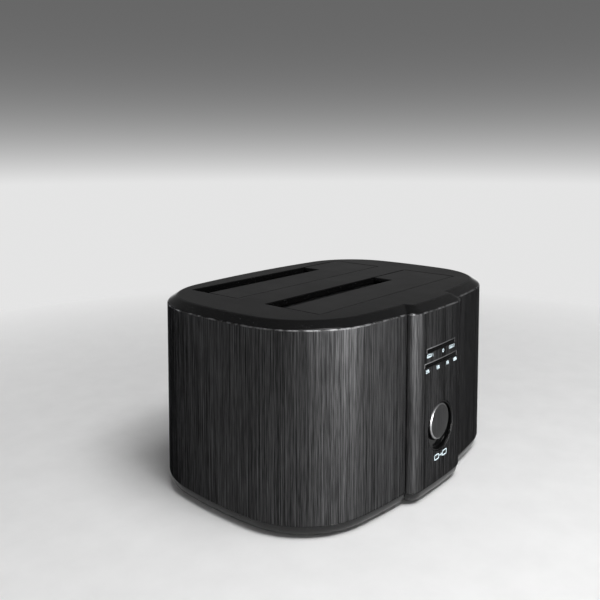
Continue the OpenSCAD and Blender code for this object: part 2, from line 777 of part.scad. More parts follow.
// Drive socket: a tall body with a foot, two keyed slots and lead-in ends
module sata_connector(k) {
  body_top = seat_z + sata_proud;
  foot_top = cradle_floor - cradle_t - 0.4;
  color("#111112") translate([-sata_left, sata_y(k), 0]) difference() {
    union() {
      block([-sata_w / 2, -sata_d / 2, board_top], [sata_w / 2, sata_d / 2, body_top]);
      block([-sata_w / 2 - sata_foot, -sata_d / 2 - 0.7, board_top],
        [sata_w / 2 + sata_foot, sata_d / 2, foot_top]);
    }
    for (slot = [power_slot, signal_slot]) {
      block([slot[0] - slot[1] / 2, -sata_slot_d / 2, body_top - sata_slot_deep],
        [slot[0] + slot[1] / 2, sata_slot_d / 2, far]);
      block([slot[0] - slot[1] / 2, -sata_slot_d, body_top - sata_slot_deep],
        [slot[0] - slot[1] / 2 + 1.2, sata_slot_d / 2, far]);
    }
  }
}
module front_sata_connector() centred() sata_connector(0);
module rear_sata_connector() centred() sata_connector(1);

// Contact blades along the back wall of both slots
module sata_contacts(k) {
  low = seat_z + sata_proud - sata_slot_deep;
  color("gold") translate([-sata_left, sata_y(k) + sata_slot_d / 2 - contact_t, low])
    for (slot = [power_slot, signal_slot], i = [0:slot[2] - 1])
      translate([slot[0] + (i - (slot[2] - 1) / 2) * contact_pitch - contact_w / 2, 0, 0])
        cube([contact_w, contact_t, sata_slot_deep - 0.6]);
}
module front_sata_contacts() centred() sata_contacts(0);
module rear_sata_contacts() centred() sata_contacts(1);

// Data socket: a folded metal shell with a square mouth and a smaller upper mouth
module usb_socket_shell() centred() color("silver") difference() {
  block([usb_x - usb_w / 2, port_y - usb_l, board_top], [usb_x + usb_w / 2, port_y, board_top + usb_h]);
  block([usb_x - usb_w / 2 + usb_wall, port_y - usb_l + 5, board_top + usb_wall],
    [usb_x + usb_w / 2 - usb_wall, far, board_top + usb_h - 4]);
  block([usb_x - 3, port_y - usb_l + 5, board_top + usb_wall],
    [usb_x + 3, far, board_top + usb_h - usb_wall]);
}

// Two plastic tongues that carry the data contacts
module usb_socket_tongue() centred() color("#2f5fb0") {
  block([usb_x - 2.8, port_y - usb_l + 5, board_top + 3.4], [usb_x + 2.8, port_y - 2.5, board_top + 6.6]);
  block([usb_x - 2.2, port_y - usb_l + 5, board_top + 9.2], [usb_x + 2.2, port_y - 2.5, board_top + 10.2]);
}

// Power inlet: a moulded block with a round mouth, and its centre pin
module dc_jack() centred() color("#141415") difference() {
  block([dc_x - dc_w / 2, port_in - dc_l, board_top], [dc_x + dc_w / 2, port_in, board_top + dc_h]);
  bar_y([dc_x, port_in - dc_bore_l, dc_bore_z], dc_bore_r, far);
}
module dc_jack_pin() centred() color("silver")
  bar_y([dc_x, port_in - dc_bore_l, dc_bore_z], dc_pin_r, dc_bore_l - 1);

// Switch body: a snap-in box with a flange, an open well and pivot holes
module switch_housing() centred() color("#121213") translate([switch_x, 0, port_z]) difference() {
  union() {
    block([-switch_w / 2, port_y - switch_l, -switch_h / 2], [switch_w / 2, port_y, switch_h / 2]);
    block([-switch_w / 2 - switch_edge, port_y, -switch_h / 2 - switch_edge],
      [switch_w / 2 + switch_edge, port_y + switch_flange, switch_h / 2 + switch_edge]);
  }
  block([-switch_well_w / 2, port_y - switch_l + 4, -switch_well_h / 2],
    [switch_well_w / 2, far, switch_well_h / 2]);
  bar_z([0, pivot_y, -switch_h], pivot_r + pin_play, 2 * switch_h);
}

// Rocker with two slanted halves on a pivot, drawn tilted to one stop
module power_rocker() centred() color("#1a1a1b")
  translate([switch_x, pivot_y, port_z]) rotate([0, 0, -rocker_tilt]) {
    rise = rocker_w / 2 * tan(rocker_tilt);
    translate([0, 0, -rocker_h / 2]) linear_extrude(rocker_h) polygon([
      [-rocker_w / 2 + 1, -rocker_back], [rocker_w / 2 - 1, -rocker_back], [rocker_w / 2, 0],
      [rocker_w / 2, rocker_face + rise], [0, rocker_face], [-rocker_w / 2, rocker_face + rise],
      [-rocker_w / 2, 0]]);
    bar_z([0, 0, -switch_h / 2 + 0.1], pivot_r, switch_h - 0.2);
  }

// Small board behind the panel, on the panel's posts
module control_board() centred() color("#1f5a36") difference() {
  block([-control_w / 2, control_y, control_low], [control_w / 2, control_y + board_t, control_high]);
  panel_posts() bar_y([0, control_y - 1, 0], screw_free, far);
}

module panel_screws() centred() color("silver")
  panel_posts() translate([0, control_y + board_t, 0]) rotate([90, 0, 0]) screw([0, 0, 0], board_t + 4.5);

// Lights of both rows, on the control board
module status_leds() centred() color("white") {
  for (i = [-1:1]) led(i * upper_led_pitch, upper_z);
  for (i = [-1.5:1.5]) led(i * lower_led_pitch, lower_z);
}
module led(x, z) {
  block([x - led_w / 2, control_y - led_t, z - led_h / 2], [x + led_w / 2, control_y, z + led_h / 2]);
}

// Dark window: a strip in the panel's slot, with a flange behind and a guide to its lights
module light_window(w, z) {
  h = window_h - 2 * fit;
  color("#050506") {
    intersection() {
      block([fit - w / 2, panel_front - 1, z - h / 2],
        [w / 2 - fit, control_y - led_t - light_gap, z + h / 2]);
      slab(rim(2 * fit), z - window_h, z + window_h);
    }
    intersection() {
      block([-w / 2 - 1.4, panel_front, z - h / 2 - 1.1],
        [w / 2 + 1.4, panel_front + panel_t + window_flange, z + h / 2 + 1.1]);
      slab(rim(panel_t), z - 2 * window_h, z + 2 * window_h);
    }
  }
}
module upper_light_window() centred() light_window(upper_window_w, upper_z);
module lower_light_window() centred() light_window(lower_window_w, lower_z);

// Glossy round recess, let in from behind, with the button's bore above its middle
module button_bezel() centred() color("#0a0a0b") difference() {
  union() {
    intersection() {
      bar_y([0, panel_front - 1, hub_z], recess_d / 2 - fit, bezel_back - panel_front + 1);
      slab(rim(fit), hub_z - recess_d, hub_z + recess_d);
    }
    intersection() {
      bar_y([0, panel_front, hub_z], recess_d / 2 + 1.8, bezel_back - panel_front);
      slab(rim(panel_t), hub_z - recess_d, hub_z + recess_d);
    }
  }
  bar_y([0, panel_front - 1, hub_z], recess_d / 2 - fit - 0.5, recess_depth + 1);
  bar_y([0, panel_front, button_z], button_d / 2 + button_play, far);
}

// Push button: a domed face with a chamfered edge, a flange behind the bezel and a stem
module copy_button() centred() color("#29292b")
  translate([0, panel_front, button_z]) rotate([-90, 0, 0]) rotate_extrude() polygon(concat(
    [for (t = [0:5]) [button_face_r() * t / 5, button_sunk - 0.3 + 0.3 * pow(t / 5, 2)]],
    [[button_d / 2, button_sunk + 0.5], [button_d / 2, flange_front - panel_front],
      [button_d / 2 + 1.2, flange_front - panel_front],
      [button_d / 2 + 1.2, flange_front + flange_t - panel_front],
      [2, flange_front + flange_t - panel_front], [2, button_back - panel_front],
      [0, button_back - panel_front]]));
function button_face_r() = button_d / 2 - 0.8;

// Switch behind the button: a body with a bore, and the plunger that the stem pushes
module tact_switch() centred() color("#333335") difference() {
  block([-tact_w / 2, tact_front, button_z - tact_w / 2], [tact_w / 2, control_y, button_z + tact_w / 2]);
  bar_y([0, tact_front - 1, button_z], plunger_r + 0.1, 1 + plunger_in + button_travel + 0.3);
}
module tact_plunger() centred() color("#8a2f2a")
  bar_y([0, button_back, button_z], plunger_r, plunger_out + plunger_in);

// Flat cable that arches from the control board's header to the main board's
module ribbon_cable() centred() color("#7d7f86")
  translate([-ribbon_w / 2, 0, 0]) rotate([90, 0, 90]) linear_extrude(ribbon_w)
    polygon(concat(ribbon_line(ribbon_t / 2, 0, 1), ribbon_line(-ribbon_t / 2, 1, -1)));
function ribbon_line(side, from, step) = [for (i = [0:ribbon_steps])
  let (t = from + step * i / ribbon_steps, ease = t * t * (3 - 2 * t))
  [ribbon_start()[0] + (ribbon_stop()[0] - ribbon_start()[0]) * t,
    ribbon_start()[1] + (ribbon_stop()[1] - ribbon_start()[1]) * ease
      + ribbon_arch * sin(180 * t) + side]];
function ribbon_start() = [control_y + board_t + control_header[0],
  control_header_z + control_header[1] / 2];
function ribbon_stop() = [main_header_y, board_top + main_header[1] / 2];

module ribbon_headers() centred() color("ivory") {
  block([-header_w / 2, control_y + board_t, control_header_z],
    [header_w / 2, control_y + board_t + control_header[0], control_header_z + control_header[1]]);
  block([-header_w / 2, main_header_y, board_top],
    [header_w / 2, main_header_y + main_header[0], board_top + main_header[1]]);
}

outer_shell();
front_panel();
top_cover();
base_tray();
rubber_feet();
base_screws();
drive_cradle();
cradle_screws();
front_flap();
rear_flap();
front_hinge_pin();
rear_hinge_pin();
front_flap_spring();
rear_flap_spring();
main_board();
board_screws();
bridge_chip();
filter_capacitors();
power_inductors();
front_sata_connector();
rear_sata_connector();
front_sata_contacts();
rear_sata_contacts();
usb_socket_shell();
usb_socket_tongue();
dc_jack();
dc_jack_pin();
switch_housing();
power_rocker();
control_board();
panel_screws();
status_leds();
tact_switch();
tact_plunger();
copy_button();
button_bezel();
upper_light_window();
lower_light_window();
ribbon_cable();
ribbon_headers();
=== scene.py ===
"""Looks of a docking station for two bare drives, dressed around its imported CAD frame.

New pieces are surfaces worked out with numpy, in millimetres on the body's own middle, and put
into the frame's metres at the end. Rows of a grid follow a profile, columns follow a path.
"""

import json
import math

import bmesh
import bpy
import numpy as np
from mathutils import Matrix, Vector
from mathutils.geometry import tessellate_polygon


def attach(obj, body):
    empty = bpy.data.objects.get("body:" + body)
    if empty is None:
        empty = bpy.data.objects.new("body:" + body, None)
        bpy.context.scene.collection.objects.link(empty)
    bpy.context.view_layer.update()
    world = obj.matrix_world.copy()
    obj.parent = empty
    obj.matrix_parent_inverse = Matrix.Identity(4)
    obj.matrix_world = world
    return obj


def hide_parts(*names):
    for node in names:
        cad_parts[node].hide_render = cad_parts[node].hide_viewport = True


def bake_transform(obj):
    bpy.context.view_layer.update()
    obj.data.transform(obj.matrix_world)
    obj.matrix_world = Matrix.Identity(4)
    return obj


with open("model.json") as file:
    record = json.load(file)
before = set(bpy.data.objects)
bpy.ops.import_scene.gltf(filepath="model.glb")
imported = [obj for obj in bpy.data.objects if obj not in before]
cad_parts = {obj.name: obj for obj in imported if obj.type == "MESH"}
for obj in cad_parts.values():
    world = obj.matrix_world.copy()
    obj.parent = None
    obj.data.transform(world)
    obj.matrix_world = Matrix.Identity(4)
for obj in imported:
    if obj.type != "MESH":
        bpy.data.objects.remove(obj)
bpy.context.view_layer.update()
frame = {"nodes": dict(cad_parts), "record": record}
nodes = frame["nodes"]

# Sizes in millimetres, as the CAD part has them
MM = 0.001
NEAR = 0.01  # slack where rows and columns are found by their place
CENTRE_Y = 1.75
HALF_W, HALF_D = 74.0, 52.5
FRONT_BOW, BACK_BOW, SIDE_BOW, CORNER_R = 10.0, 7.0, 7.4, 35.0
FOOT_H, WALL_Z, WALL_TOP, TOP_Z = 1.0, 5.2, 77.2, 79.8
WALL_T, BEVEL_W, BASE_IN, BASE_REVEAL = 2.5, 4.2, 3.0, 0.4
PANEL_HALF, PANEL_OUT, PANEL_ROUND, PANEL_T, PANEL_GROOVE = 20.3, 3.5, 6.0, 2.2, 0.3
LIP_REACH, LIP_T, FIT = 4.0, 1.5, 0.1
UPPER_Z, LOWER_Z, UPPER_HALF, LOWER_HALF, WINDOW_H = 61.0, 55.2, 11.3, 12.8, 1.4
WINDOWS = ((UPPER_HALF, UPPER_Z), (LOWER_HALF, LOWER_Z))
HUB_Z, HUB_R, RECESS_DEPTH, BEZEL_R, BEZEL_BACK = 27.8, 10.2, 2.4, 12.0, 3.7
BUTTON_Z, BUTTON_R, BUTTON_BORE = 29.55, 7.6, 7.9
BAY_HALF, BAY_D, BAY_FRONTS = 51.5, 28.0, (-33.5, 10.0)
FLAP_T, FLAP_GAP, FLAP_BACK_GAP, NOTCH_W, NOTCH_D = 1.8, 0.3, 0.6, 75.8, 10.5
PIN_AHEAD, PIN_Z, BARREL_BORE, BARREL_R = 3.8, 75.0, 1.05, 1.7
BARREL_X, BARREL_HALF = 40.0, 5.0
PORT_Y, PORT_IN, PORT_X, PORT_Z = 49.0, 46.8, (-40.0, 33.0), (13.0, 31.0)
PAD_X, PAD_Z = (-42.0, 35.0), (11.0, 33.0)
USB_X, USB_HALF, USB_Z = 20.0, 6.1, (14.9, 27.5)
DC_X, DC_Z, DC_R = -2.0, 21.2, 4.0
SWITCH_X, SWITCH_Z, SWITCH_HALF, SWITCH_TALL = -28.0, 22.0, 6.4, 4.5
FOOT_R, FOOT_WELL_R, FOOT_TOP = 6.0, 6.1, 2.0
SCREW_WELL_R, SCREW_WELL_TOP = 2.7, 5.0
FEET = [(sx * 46.0, sy * 30.0) for sx in (-1, 1) for sy in (-1, 1)]
SCREW_WELLS = [(sx * 60.0, sy * 30.0) for sx in (-1, 1) for sy in (-1, 1)]

# Eased edges in millimetres, and points along a bow, a round and the foot of a wall
WALL_EASE, MOUTH_EASE, FLAT_RING, SLOT_EASE, RIM_EASE = 0.7, 0.4, 0.9, 0.2, 0.25
BOW_POINTS, ROUND_POINTS, FOOT_POINTS = 40, 48, 5


# Plan outline: four bows joined by four equal rounds

def bow_radius(half, sag):
    """Radius of an arc that rises by sag over a half chord."""
    return (half * half + sag * sag) / (2 * sag)


def meeting(p, q, r1, r2, side):
    """Point r1 from p and r2 from q, on the chosen side of the line from p to q."""
    d = np.linalg.norm(q - p)
    e = (q - p) / d
    u = (r1 * r1 - r2 * r2 + d * d) / (2 * d)
    return p + u * e + side * math.sqrt(r1 * r1 - u * u) * np.array([-e[1], e[0]])


def heading(start, end):
    """Direction from start to end in degrees."""
    return math.degrees(math.atan2(end[1] - start[1], end[0] - start[0]))


FRONT_R = bow_radius(HALF_W, FRONT_BOW)
BACK_R = bow_radius(HALF_W, BACK_BOW)
SIDE_R = bow_radius(HALF_D, SIDE_BOW)
FRONT_C = np.array([0.0, FRONT_R - HALF_D])
BACK_C = np.array([0.0, HALF_D - BACK_R])
SIDE_C = np.array([HALF_W - SIDE_R, 0.0])
ROUND_FRONT = meeting(FRONT_C, SIDE_C, FRONT_R - CORNER_R, SIDE_R - CORNER_R, 1)
ROUND_BACK = meeting(BACK_C, SIDE_C, BACK_R - CORNER_R, SIDE_R - CORNER_R, -1)
FRONT_END = heading(FRONT_C, ROUND_FRONT)
SIDE_START = heading(SIDE_C, ROUND_FRONT)
SIDE_END = heading(SIDE_C, ROUND_BACK)
BACK_START = heading(BACK_C, ROUND_BACK)
# The back bow has columns where the socket recess and its pad begin and end
BACK_DEGREES = np.unique(np.concatenate([
    np.linspace(BACK_START, 90, BOW_POINTS),
    np.degrees(np.arccos(np.abs(np.array(PORT_X + PAD_X)) / BACK_R))]))


def column(values):
    """Values as a column, one row each."""
    return np.atleast_1d(np.asarray(values, float))[:, None]


def arc(centre, radius, degrees):
    """Arc: centre + radius (cos t, sin t); radius is a column, so each row is its own arc."""
    t = np.radians(degrees)
    return centre + radius[..., None] * np.stack([np.cos(t), np.sin(t)], -1)


def front_y(x, inset):
    """Front bow at x, drawn in by inset: the arc's middle less sqrt((R - inset)^2 - x^2)."""
    return FRONT_C[1] - np.sqrt((FRONT_R - inset) ** 2 - x * x)


def right_side(inset, start_x):
    """Right half of the plan from start_x on the front bow to the middle of the back. Each bow
    and round keeps its centre and loses inset from its radius, so rows are true offsets."""
    i = column(inset)
    first = np.degrees(np.arcsin(start_x / (FRONT_R - i))) - 90
    share = np.linspace(0, 1, BOW_POINTS)
    return np.concatenate([
        arc(FRONT_C, FRONT_R - i, first + (FRONT_END - first) * share),
        arc(ROUND_FRONT, CORNER_R - i, np.linspace(FRONT_END, SIDE_START, ROUND_POINTS)[1:]),
        arc(SIDE_C, SIDE_R - i, np.linspace(SIDE_START, SIDE_END, ROUND_POINTS)[1:]),
        arc(ROUND_BACK, CORNER_R - i, np.linspace(SIDE_END, BACK_START, ROUND_POINTS)[1:]),
        arc(BACK_C, BACK_R - i, BACK_DEGREES[1:])], axis=1)


PANEL_EDGE = PANEL_HALF - PANEL_ROUND


def panel_side(inset, flat_x):
    """Right half of the raised panel: flat_x lie on its bowed face, then a broad shoulder falls
    back to the wall: x = edge + (round - inset) sin t, y = bow - out cos t."""
    i = column(inset)
    t = np.radians(np.linspace(0, 90, 17))
    x = np.concatenate([flat_x * np.ones_like(i),
                        PANEL_EDGE + (PANEL_ROUND - i) * np.sin(t)], axis=1)
    out = np.concatenate([np.full(np.shape(flat_x)[-1], PANEL_OUT), PANEL_OUT * np.cos(t)])
    return np.stack([x, front_y(x, i) - out], -1)


def both_sides(right, closed):
    """A right half, then the same half mirrored and run back to the front."""
    left = right[:, ::-1] * (-1, 1)
    return np.concatenate([right, left[:, 1:-1] if closed else left[:, 1:]], axis=1)


def lift(plan, heights):
    """Plan rows put at their heights."""
    plan = np.asarray(plan)
    return np.dstack([plan, np.broadcast_to(column(heights), plan.shape[:2])])


def rim(profile):
    """Profile (inset, height) carried round the closed outline that follows the raised panel too,
    as the lid and the base do."""
    inset, heights = profile.T
    face = PANEL_EDGE * np.linspace(0, 1, 14)[:-1]
    side = right_side(inset, PANEL_HALF - column(inset))[:, 1:]
    right = np.concatenate([panel_side(inset, face), side], axis=1)
    return lift(both_sides(right, True), heights)


def unit(vectors):
    """Vectors of length one."""
    return vectors / np.linalg.norm(vectors, axis=1, keepdims=True)


def at_x(loop, x):
    """Loop (y, z) on a plane across X."""
    return np.column_stack([np.full(len(loop), x), loop])


def at_y(loop, y):
    """Loop (x, z) on a plane across Y."""
    return np.column_stack([loop[:, 0], np.full(len(loop), y), loop[:, 1]])


def curve(start, corner, end, count):
    """Rounding of a corner: (1-t)^2 start + 2t(1-t) corner + t^2 end. Lists of points give one
    rounding each."""
    t = np.linspace(0, 1, count)[:, None]
    start, corner, end = (np.asarray(q, float)[..., None, :] for q in (start, corner, end))
    return (1 - t) ** 2 * start + 2 * t * (1 - t) * corner + t * t * end


def rounded_loop(corners, radius, count=6):
    """Closed loop through corners, each cut back by its radius and rounded by curve()."""
    p = np.asarray(corners, float)
    r = np.broadcast_to(np.asarray(radius, float), len(p))[:, None]
    back, ahead = unit(np.roll(p, 1, 0) - p), unit(np.roll(p, -1, 0) - p)
    return curve(p + r * back, p, p + r * ahead, count).reshape(-1, 2)


def box_corners(low, high):
    """Corners of a plain rectangle."""
    return [low, (high[0], low[1]), high, (low[0], high[1])]


def box_loop(low, high, radius, grow=0.0):
    """Rounded rectangle between two corners, grown outwards by grow."""
    return rounded_loop(box_corners(np.subtract(low, grow), np.add(high, grow)), radius + grow)


def circle(centre, radius, count):
    """Circle: centre + radius (cos t, sin t)."""
    t = np.linspace(0, 2 * np.pi, count, endpoint=False)
    return np.asarray(centre) + radius * np.stack([np.cos(t), np.sin(t)], -1)


def place(name, data):
    """New object of some data, in the scene."""
    made = bpy.data.objects.new(name, data)
    bpy.context.scene.collection.objects.link(made)
    return made


class Piece:
    """Surfaces that are welded into one mesh and ride one body."""

    def __init__(self):
        self.points, self.faces, self.count = [], [], 0

    def add(self, points, faces):
        """Points (n, 3) with faces that index them."""
        self.points.append(np.asarray(points, float).reshape(-1, 3))
        self.faces += [np.asarray(f) + self.count for f in faces]
        self.count += len(self.points[-1])

    def grid(self, p, wrap=False, keep=None):
        """Quads of a grid of points; wrap joins the last column to the first."""
        rows, cols = p.shape[:2]
        at = np.arange(rows * cols).reshape(rows, cols)
        a, b = (at, np.roll(at, -1, 1)) if wrap else (at[:, :-1], at[:, 1:])
        quads = np.stack([a[:-1], b[:-1], b[1:], a[1:]], -1)
        self.add(p, [quads[keep] if keep is not None else quads.reshape(-1, 4)])

    def flat(self, loops):
        """Flat face inside the first loop and outside the others; loops are (n, 3)."""
        found = tessellate_polygon([[Vector(q) for q in loop] for loop in loops])
        self.add(np.concatenate(loops), [np.array(found)])

    def cap(self, loop):
        """One face over a flat convex loop."""
        self.add(loop, [np.arange(len(loop))[None]])

    def solid(self, p):
        """Closed tube: one loop in each row, with a flat face over the first and the last."""
        self.grid(p, wrap=True)
        self.flat([p[0]])
        self.flat([p[-1]])

    def prism(self, loop, low, high):
        """Loop (y, z) carried along X from low to high."""
        self.solid(np.stack([at_x(loop, low), at_x(loop, high)]))

    def lathe(self, profile, centre, axis, count):
        """Profile (radius, along) turned about Y or Z through centre; closed where radius is 0."""
        r, h = np.asarray(profile, float).T
        t = np.linspace(0, 2 * np.pi, count, endpoint=False)
        u, v = r[:, None] * np.cos(t), r[:, None] * np.sin(t)
        w = np.broadcast_to(h[:, None], u.shape)
        turned = (u, w, v) if axis == "y" else (u, v, w)
        self.grid(np.dstack(turned) + np.asarray(centre), wrap=True)

    def make(self, name, body, replaced=None, slot=None, material=None, sharp=32):
        """One mesh in the frame's metres, welded, facing outwards and smooth under sharp degrees,
        in its own material or its slot's. It rides body, or rides no body if None."""
        points = (np.concatenate(self.points) + (0, CENTRE_Y, 0)) * MM
        mesh = bpy.data.meshes.new(name)
        mesh.from_pydata(points.tolist(), [], [row for f in self.faces for row in f.tolist()])
        work = bmesh.new()
        work.from_mesh(mesh)
        bmesh.ops.remove_doubles(work, verts=work.verts, dist=2e-6)
        bmesh.ops.dissolve_degenerate(work, edges=work.edges, dist=1e-7)
        bmesh.ops.recalc_face_normals(work, faces=work.faces)
        work.to_mesh(mesh)
        work.free()
        mesh.shade_smooth()
        mesh.set_sharp_from_angle(angle=math.radians(sharp))
        mesh.materials.append(material or FINISH[slot])
        piece = place(name, mesh)
        even = piece.modifiers.new("even_shading", "WEIGHTED_NORMAL")
        even.mode, even.keep_sharp, even.weight = "FACE_AREA", True, 50
        if body:
            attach(piece, body)
        if replaced:
            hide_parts(replaced)
        return piece


# Finishes: shared effects are node groups, each material places them with its own values

def effect(name, build, **numbers):
    """Shader node group on a Vector and numbers; build gives its outputs by name."""
    group = bpy.data.node_groups.new(name, "ShaderNodeTree")
    add = group.interface.new_socket
    add("Vector", in_out="INPUT", socket_type="NodeSocketVector")
    for label, value in numbers.items():
        add(label, in_out="INPUT", socket_type="NodeSocketFloat").default_value = value
    found = build(group, group.nodes.new("NodeGroupInput").outputs)
    for label in found:
        add(label, in_out="OUTPUT", socket_type="NodeSocketFloat")
    end = group.nodes.new("NodeGroupOutput").inputs
    for label, value in found.items():
        group.links.new(value, end[label])
    return group


def node(tree, kind, links=(), **values):
    """Node with property values, socket values by name, and links into its sockets."""
    made = tree.nodes.new(kind)
    for key, value in values.items():
        if hasattr(made, key):
            setattr(made, key, value)
        else:
            made.inputs[key.replace("_", " ")].default_value = value
    for socket, source in links:
        tree.links.new(source, made.inputs[socket])
    return made


def math_node(tree, operation, first, second):
    """Math node; each side is a number or a socket."""
    made = tree.nodes.new("ShaderNodeMath")
    made.operation = operation
    for k, side in enumerate((first, second)):
        if isinstance(side, (int, float)):
            made.inputs[k].default_value = side
        else:
            tree.links.new(side, made.inputs[k])
    return made.outputs[0]


def times(tree, first, second):
    """Product of two values."""
    return math_node(tree, "MULTIPLY", first, second)


def plus(tree, first, second):
    """Sum of two values."""
    return math_node(tree, "ADD", first, second)


def noise(tree, vector, scale, detail, rough):
    """Noise value over a vector."""
    return node(tree, "ShaderNodeTexNoise", [("Vector", vector)],
                Scale=scale, Detail=detail, Roughness=rough).outputs[0]


def stretched(tree, vector, scale):
    """Vector times a scale for each axis."""
    made = node(tree, "ShaderNodeVectorMath", [(0, vector)], operation="MULTIPLY")
    made.inputs[1].default_value = scale
    return made.outputs[0]


def ranged(tree, value, low, high, to_low, to_high):
    """Value moved from one range to another, clamped."""
    made = node(tree, "ShaderNodeMapRange", [(0, value)])
    for k, number in enumerate((low, high, to_low, to_high), 1):
        made.inputs[k].default_value = number
    return made.outputs[0]


def brushing(tree, given):
    """Upright brushing: noise drawn out along Z. Long lines run the whole height, medium ones a
    few centimetres and short ones a few millimetres, so the lines stay straight and fine."""
    lines = 0.0
    for fine, along, detail, rough, share in ((3200, 1.6, 3, 0.65, 0.35), (3900, 22, 2, 0.6, 0.34),
                                              (4700, 110, 2, 0.6, 0.31)):
        at = stretched(tree, given["Vector"], (fine, fine, along))
        drawn = ranged(tree, noise(tree, at, 1, detail, rough), 0.34, 0.66, 0, 1)
        lines = plus(tree, lines, times(tree, drawn, share))
    return {"Streak": ranged(tree, lines, 0.12, 0.88, 0, 1), "Height": lines}


def grain(tree, given):
    """Moulded grain: small cells for the skin of a moulding and slow clouds for its sheen."""
    at = given["Vector"]
    skin = node(tree, "ShaderNodeTexNoise", [("Vector", at), ("Scale", given["Scale"])], Detail=3)
    cloud = ranged(tree, noise(tree, at, 60, 3, 0.55), 0.3, 0.7, 0, 1)
    return {"Cloud": cloud, "Height": skin.outputs[0]}


def dust(tree, given):
    """Handling marks: sparse specks of dust and faint wipes on a polished face."""
    at = given["Vector"]
    speck = ranged(tree, noise(tree, at, 1700, 1, 0.5), 0.70, 0.80, 0, 1)
    wipe = noise(tree, stretched(tree, at, (90, 24, 60)), 1, 4, 0.6)
    return {"Speck": speck, "Wipe": ranged(tree, wipe, 0.35, 0.7, 0, 1)}


BRUSHING = effect("upright_brushing", brushing)
GRAIN = effect("moulded_grain", grain, Scale=2500.0)
DUST = effect("handling_dust", dust)


class Finish:
    """Material with a Principled shader on Object coordinates."""

    def __init__(self, name, **values):
        self.material = bpy.data.materials.new(name)
        self.material.use_nodes = True
        self.tree = self.material.node_tree
        self.shader = self.tree.nodes["Principled BSDF"]
        self.at = self.tree.nodes.new("ShaderNodeTexCoord").outputs["Object"]
        for key, value in values.items():
            self.shader.inputs[key.replace("_", " ")].default_value = value

    def group(self, made, **values):
        """Placed effect, on Object coordinates."""
        placed = self.tree.nodes.new("ShaderNodeGroup")
        placed.node_tree = made
        self.tree.links.new(self.at, placed.inputs["Vector"])
        for key, value in values.items():
            placed.inputs[key].default_value = value
        return placed.outputs

    def axes(self):
        """Object coordinates, one socket each."""
        return node(self.tree, "ShaderNodeSeparateXYZ", [("Vector", self.at)]).outputs

    def link(self, value, name):
        """Value linked to an input of the shader."""
        self.tree.links.new(value, self.shader.inputs[name])

    def colour(self, factor, dark, light, clamp=True):
        """Base colour between dark and light, or past light where the factor isn't clamped."""
        mix = self.tree.nodes.new("ShaderNodeMix")
        mix.data_type = "RGBA"
        mix.clamp_factor = clamp
        colours = [s for s in mix.inputs if s.type == "RGBA"]
        colours[0].default_value, colours[1].default_value = (*dark, 1), (*light, 1)
        self.tree.links.new(factor, mix.inputs[0])
        self.link([s for s in mix.outputs if s.type == "RGBA"][0], "Base Color")

    def roughness(self, factor, low, high):
        """Roughness from low to high."""
        self.link(ranged(self.tree, factor, 0, 1, low, high), "Roughness")

    def bump(self, height, strength, depth):
        """Bump of a height field, its depth in millimetres."""
        made = node(self.tree, "ShaderNodeBump", [("Height", height)],
                    Strength=strength, Distance=depth * MM)
        self.link(made.outputs[0], "Normal")


# Brightness of bare edges and of the windows' painted highlights, contrast of the brushing, width
# and softness of those painted highlights, the button's bright chamfer (where it begins and ends)
# and the play of the lid's roughness
EDGE_AND_PAINTED_RIM_SHINE, STREAK_POWER, PAINTED_RIM_W, PAINTED_RIM_SOFT = 2.6, 1.7, 0.5, 0.06
CHAMFER_FROM, CHAMFER_TO, CHAMFER_SHINE, CHAMFER_POLISH = (6.75, 6.95), (7.30, 7.45), 9.0, 0.12
LID_PLAY = 0.03


def grey(value):
    """Neutral colour."""
    return (value, value, value * 1.02)


def dusty(tint):
    """Colour of a speck of dust on a tint."""
    return tuple(4 * c + 0.02 for c in tint)


def inside(tree, value, low, high):
    """1 where a value in metres lies between two millimetre values, with soft ends."""
    rise = ranged(tree, value, (low - PAINTED_RIM_SOFT) * MM, (low + PAINTED_RIM_SOFT) * MM, 0, 1)
    fall = ranged(tree, value, (high - PAINTED_RIM_SOFT) * MM, (high + PAINTED_RIM_SOFT) * MM, 1, 0)
    return times(tree, rise, fall)


def painted_window_highlights(made):
    """Painted highlight along the upper edge and the left end of each window, on the panel's face
    only, and fading to the right."""
    tree, at, found = made.tree, made.axes(), 0.0
    for half_w, z in WINDOWS:
        top, end = z + WINDOW_H / 2, -half_w
        over = times(tree, inside(tree, at["Z"], top, top + PAINTED_RIM_W),
                     inside(tree, at["X"], end - PAINTED_RIM_W, half_w))
        beside = times(tree, inside(tree, at["Z"], top - WINDOW_H, top + PAINTED_RIM_W),
                       inside(tree, at["X"], end - PAINTED_RIM_W, end))
        # Painted highlight: strongest at the left end of each window and fading to the right
        fade = ranged(tree, at["X"], end * MM, half_w * MM, 0.9, 0.35)
        rim = times(tree, math_node(tree, "MAXIMUM", over, beside), fade)
        found = math_node(tree, "MAXIMUM", found, rim)
    return times(tree, found, ranged(tree, at["Y"], -0.04, -0.05, 0, 1))


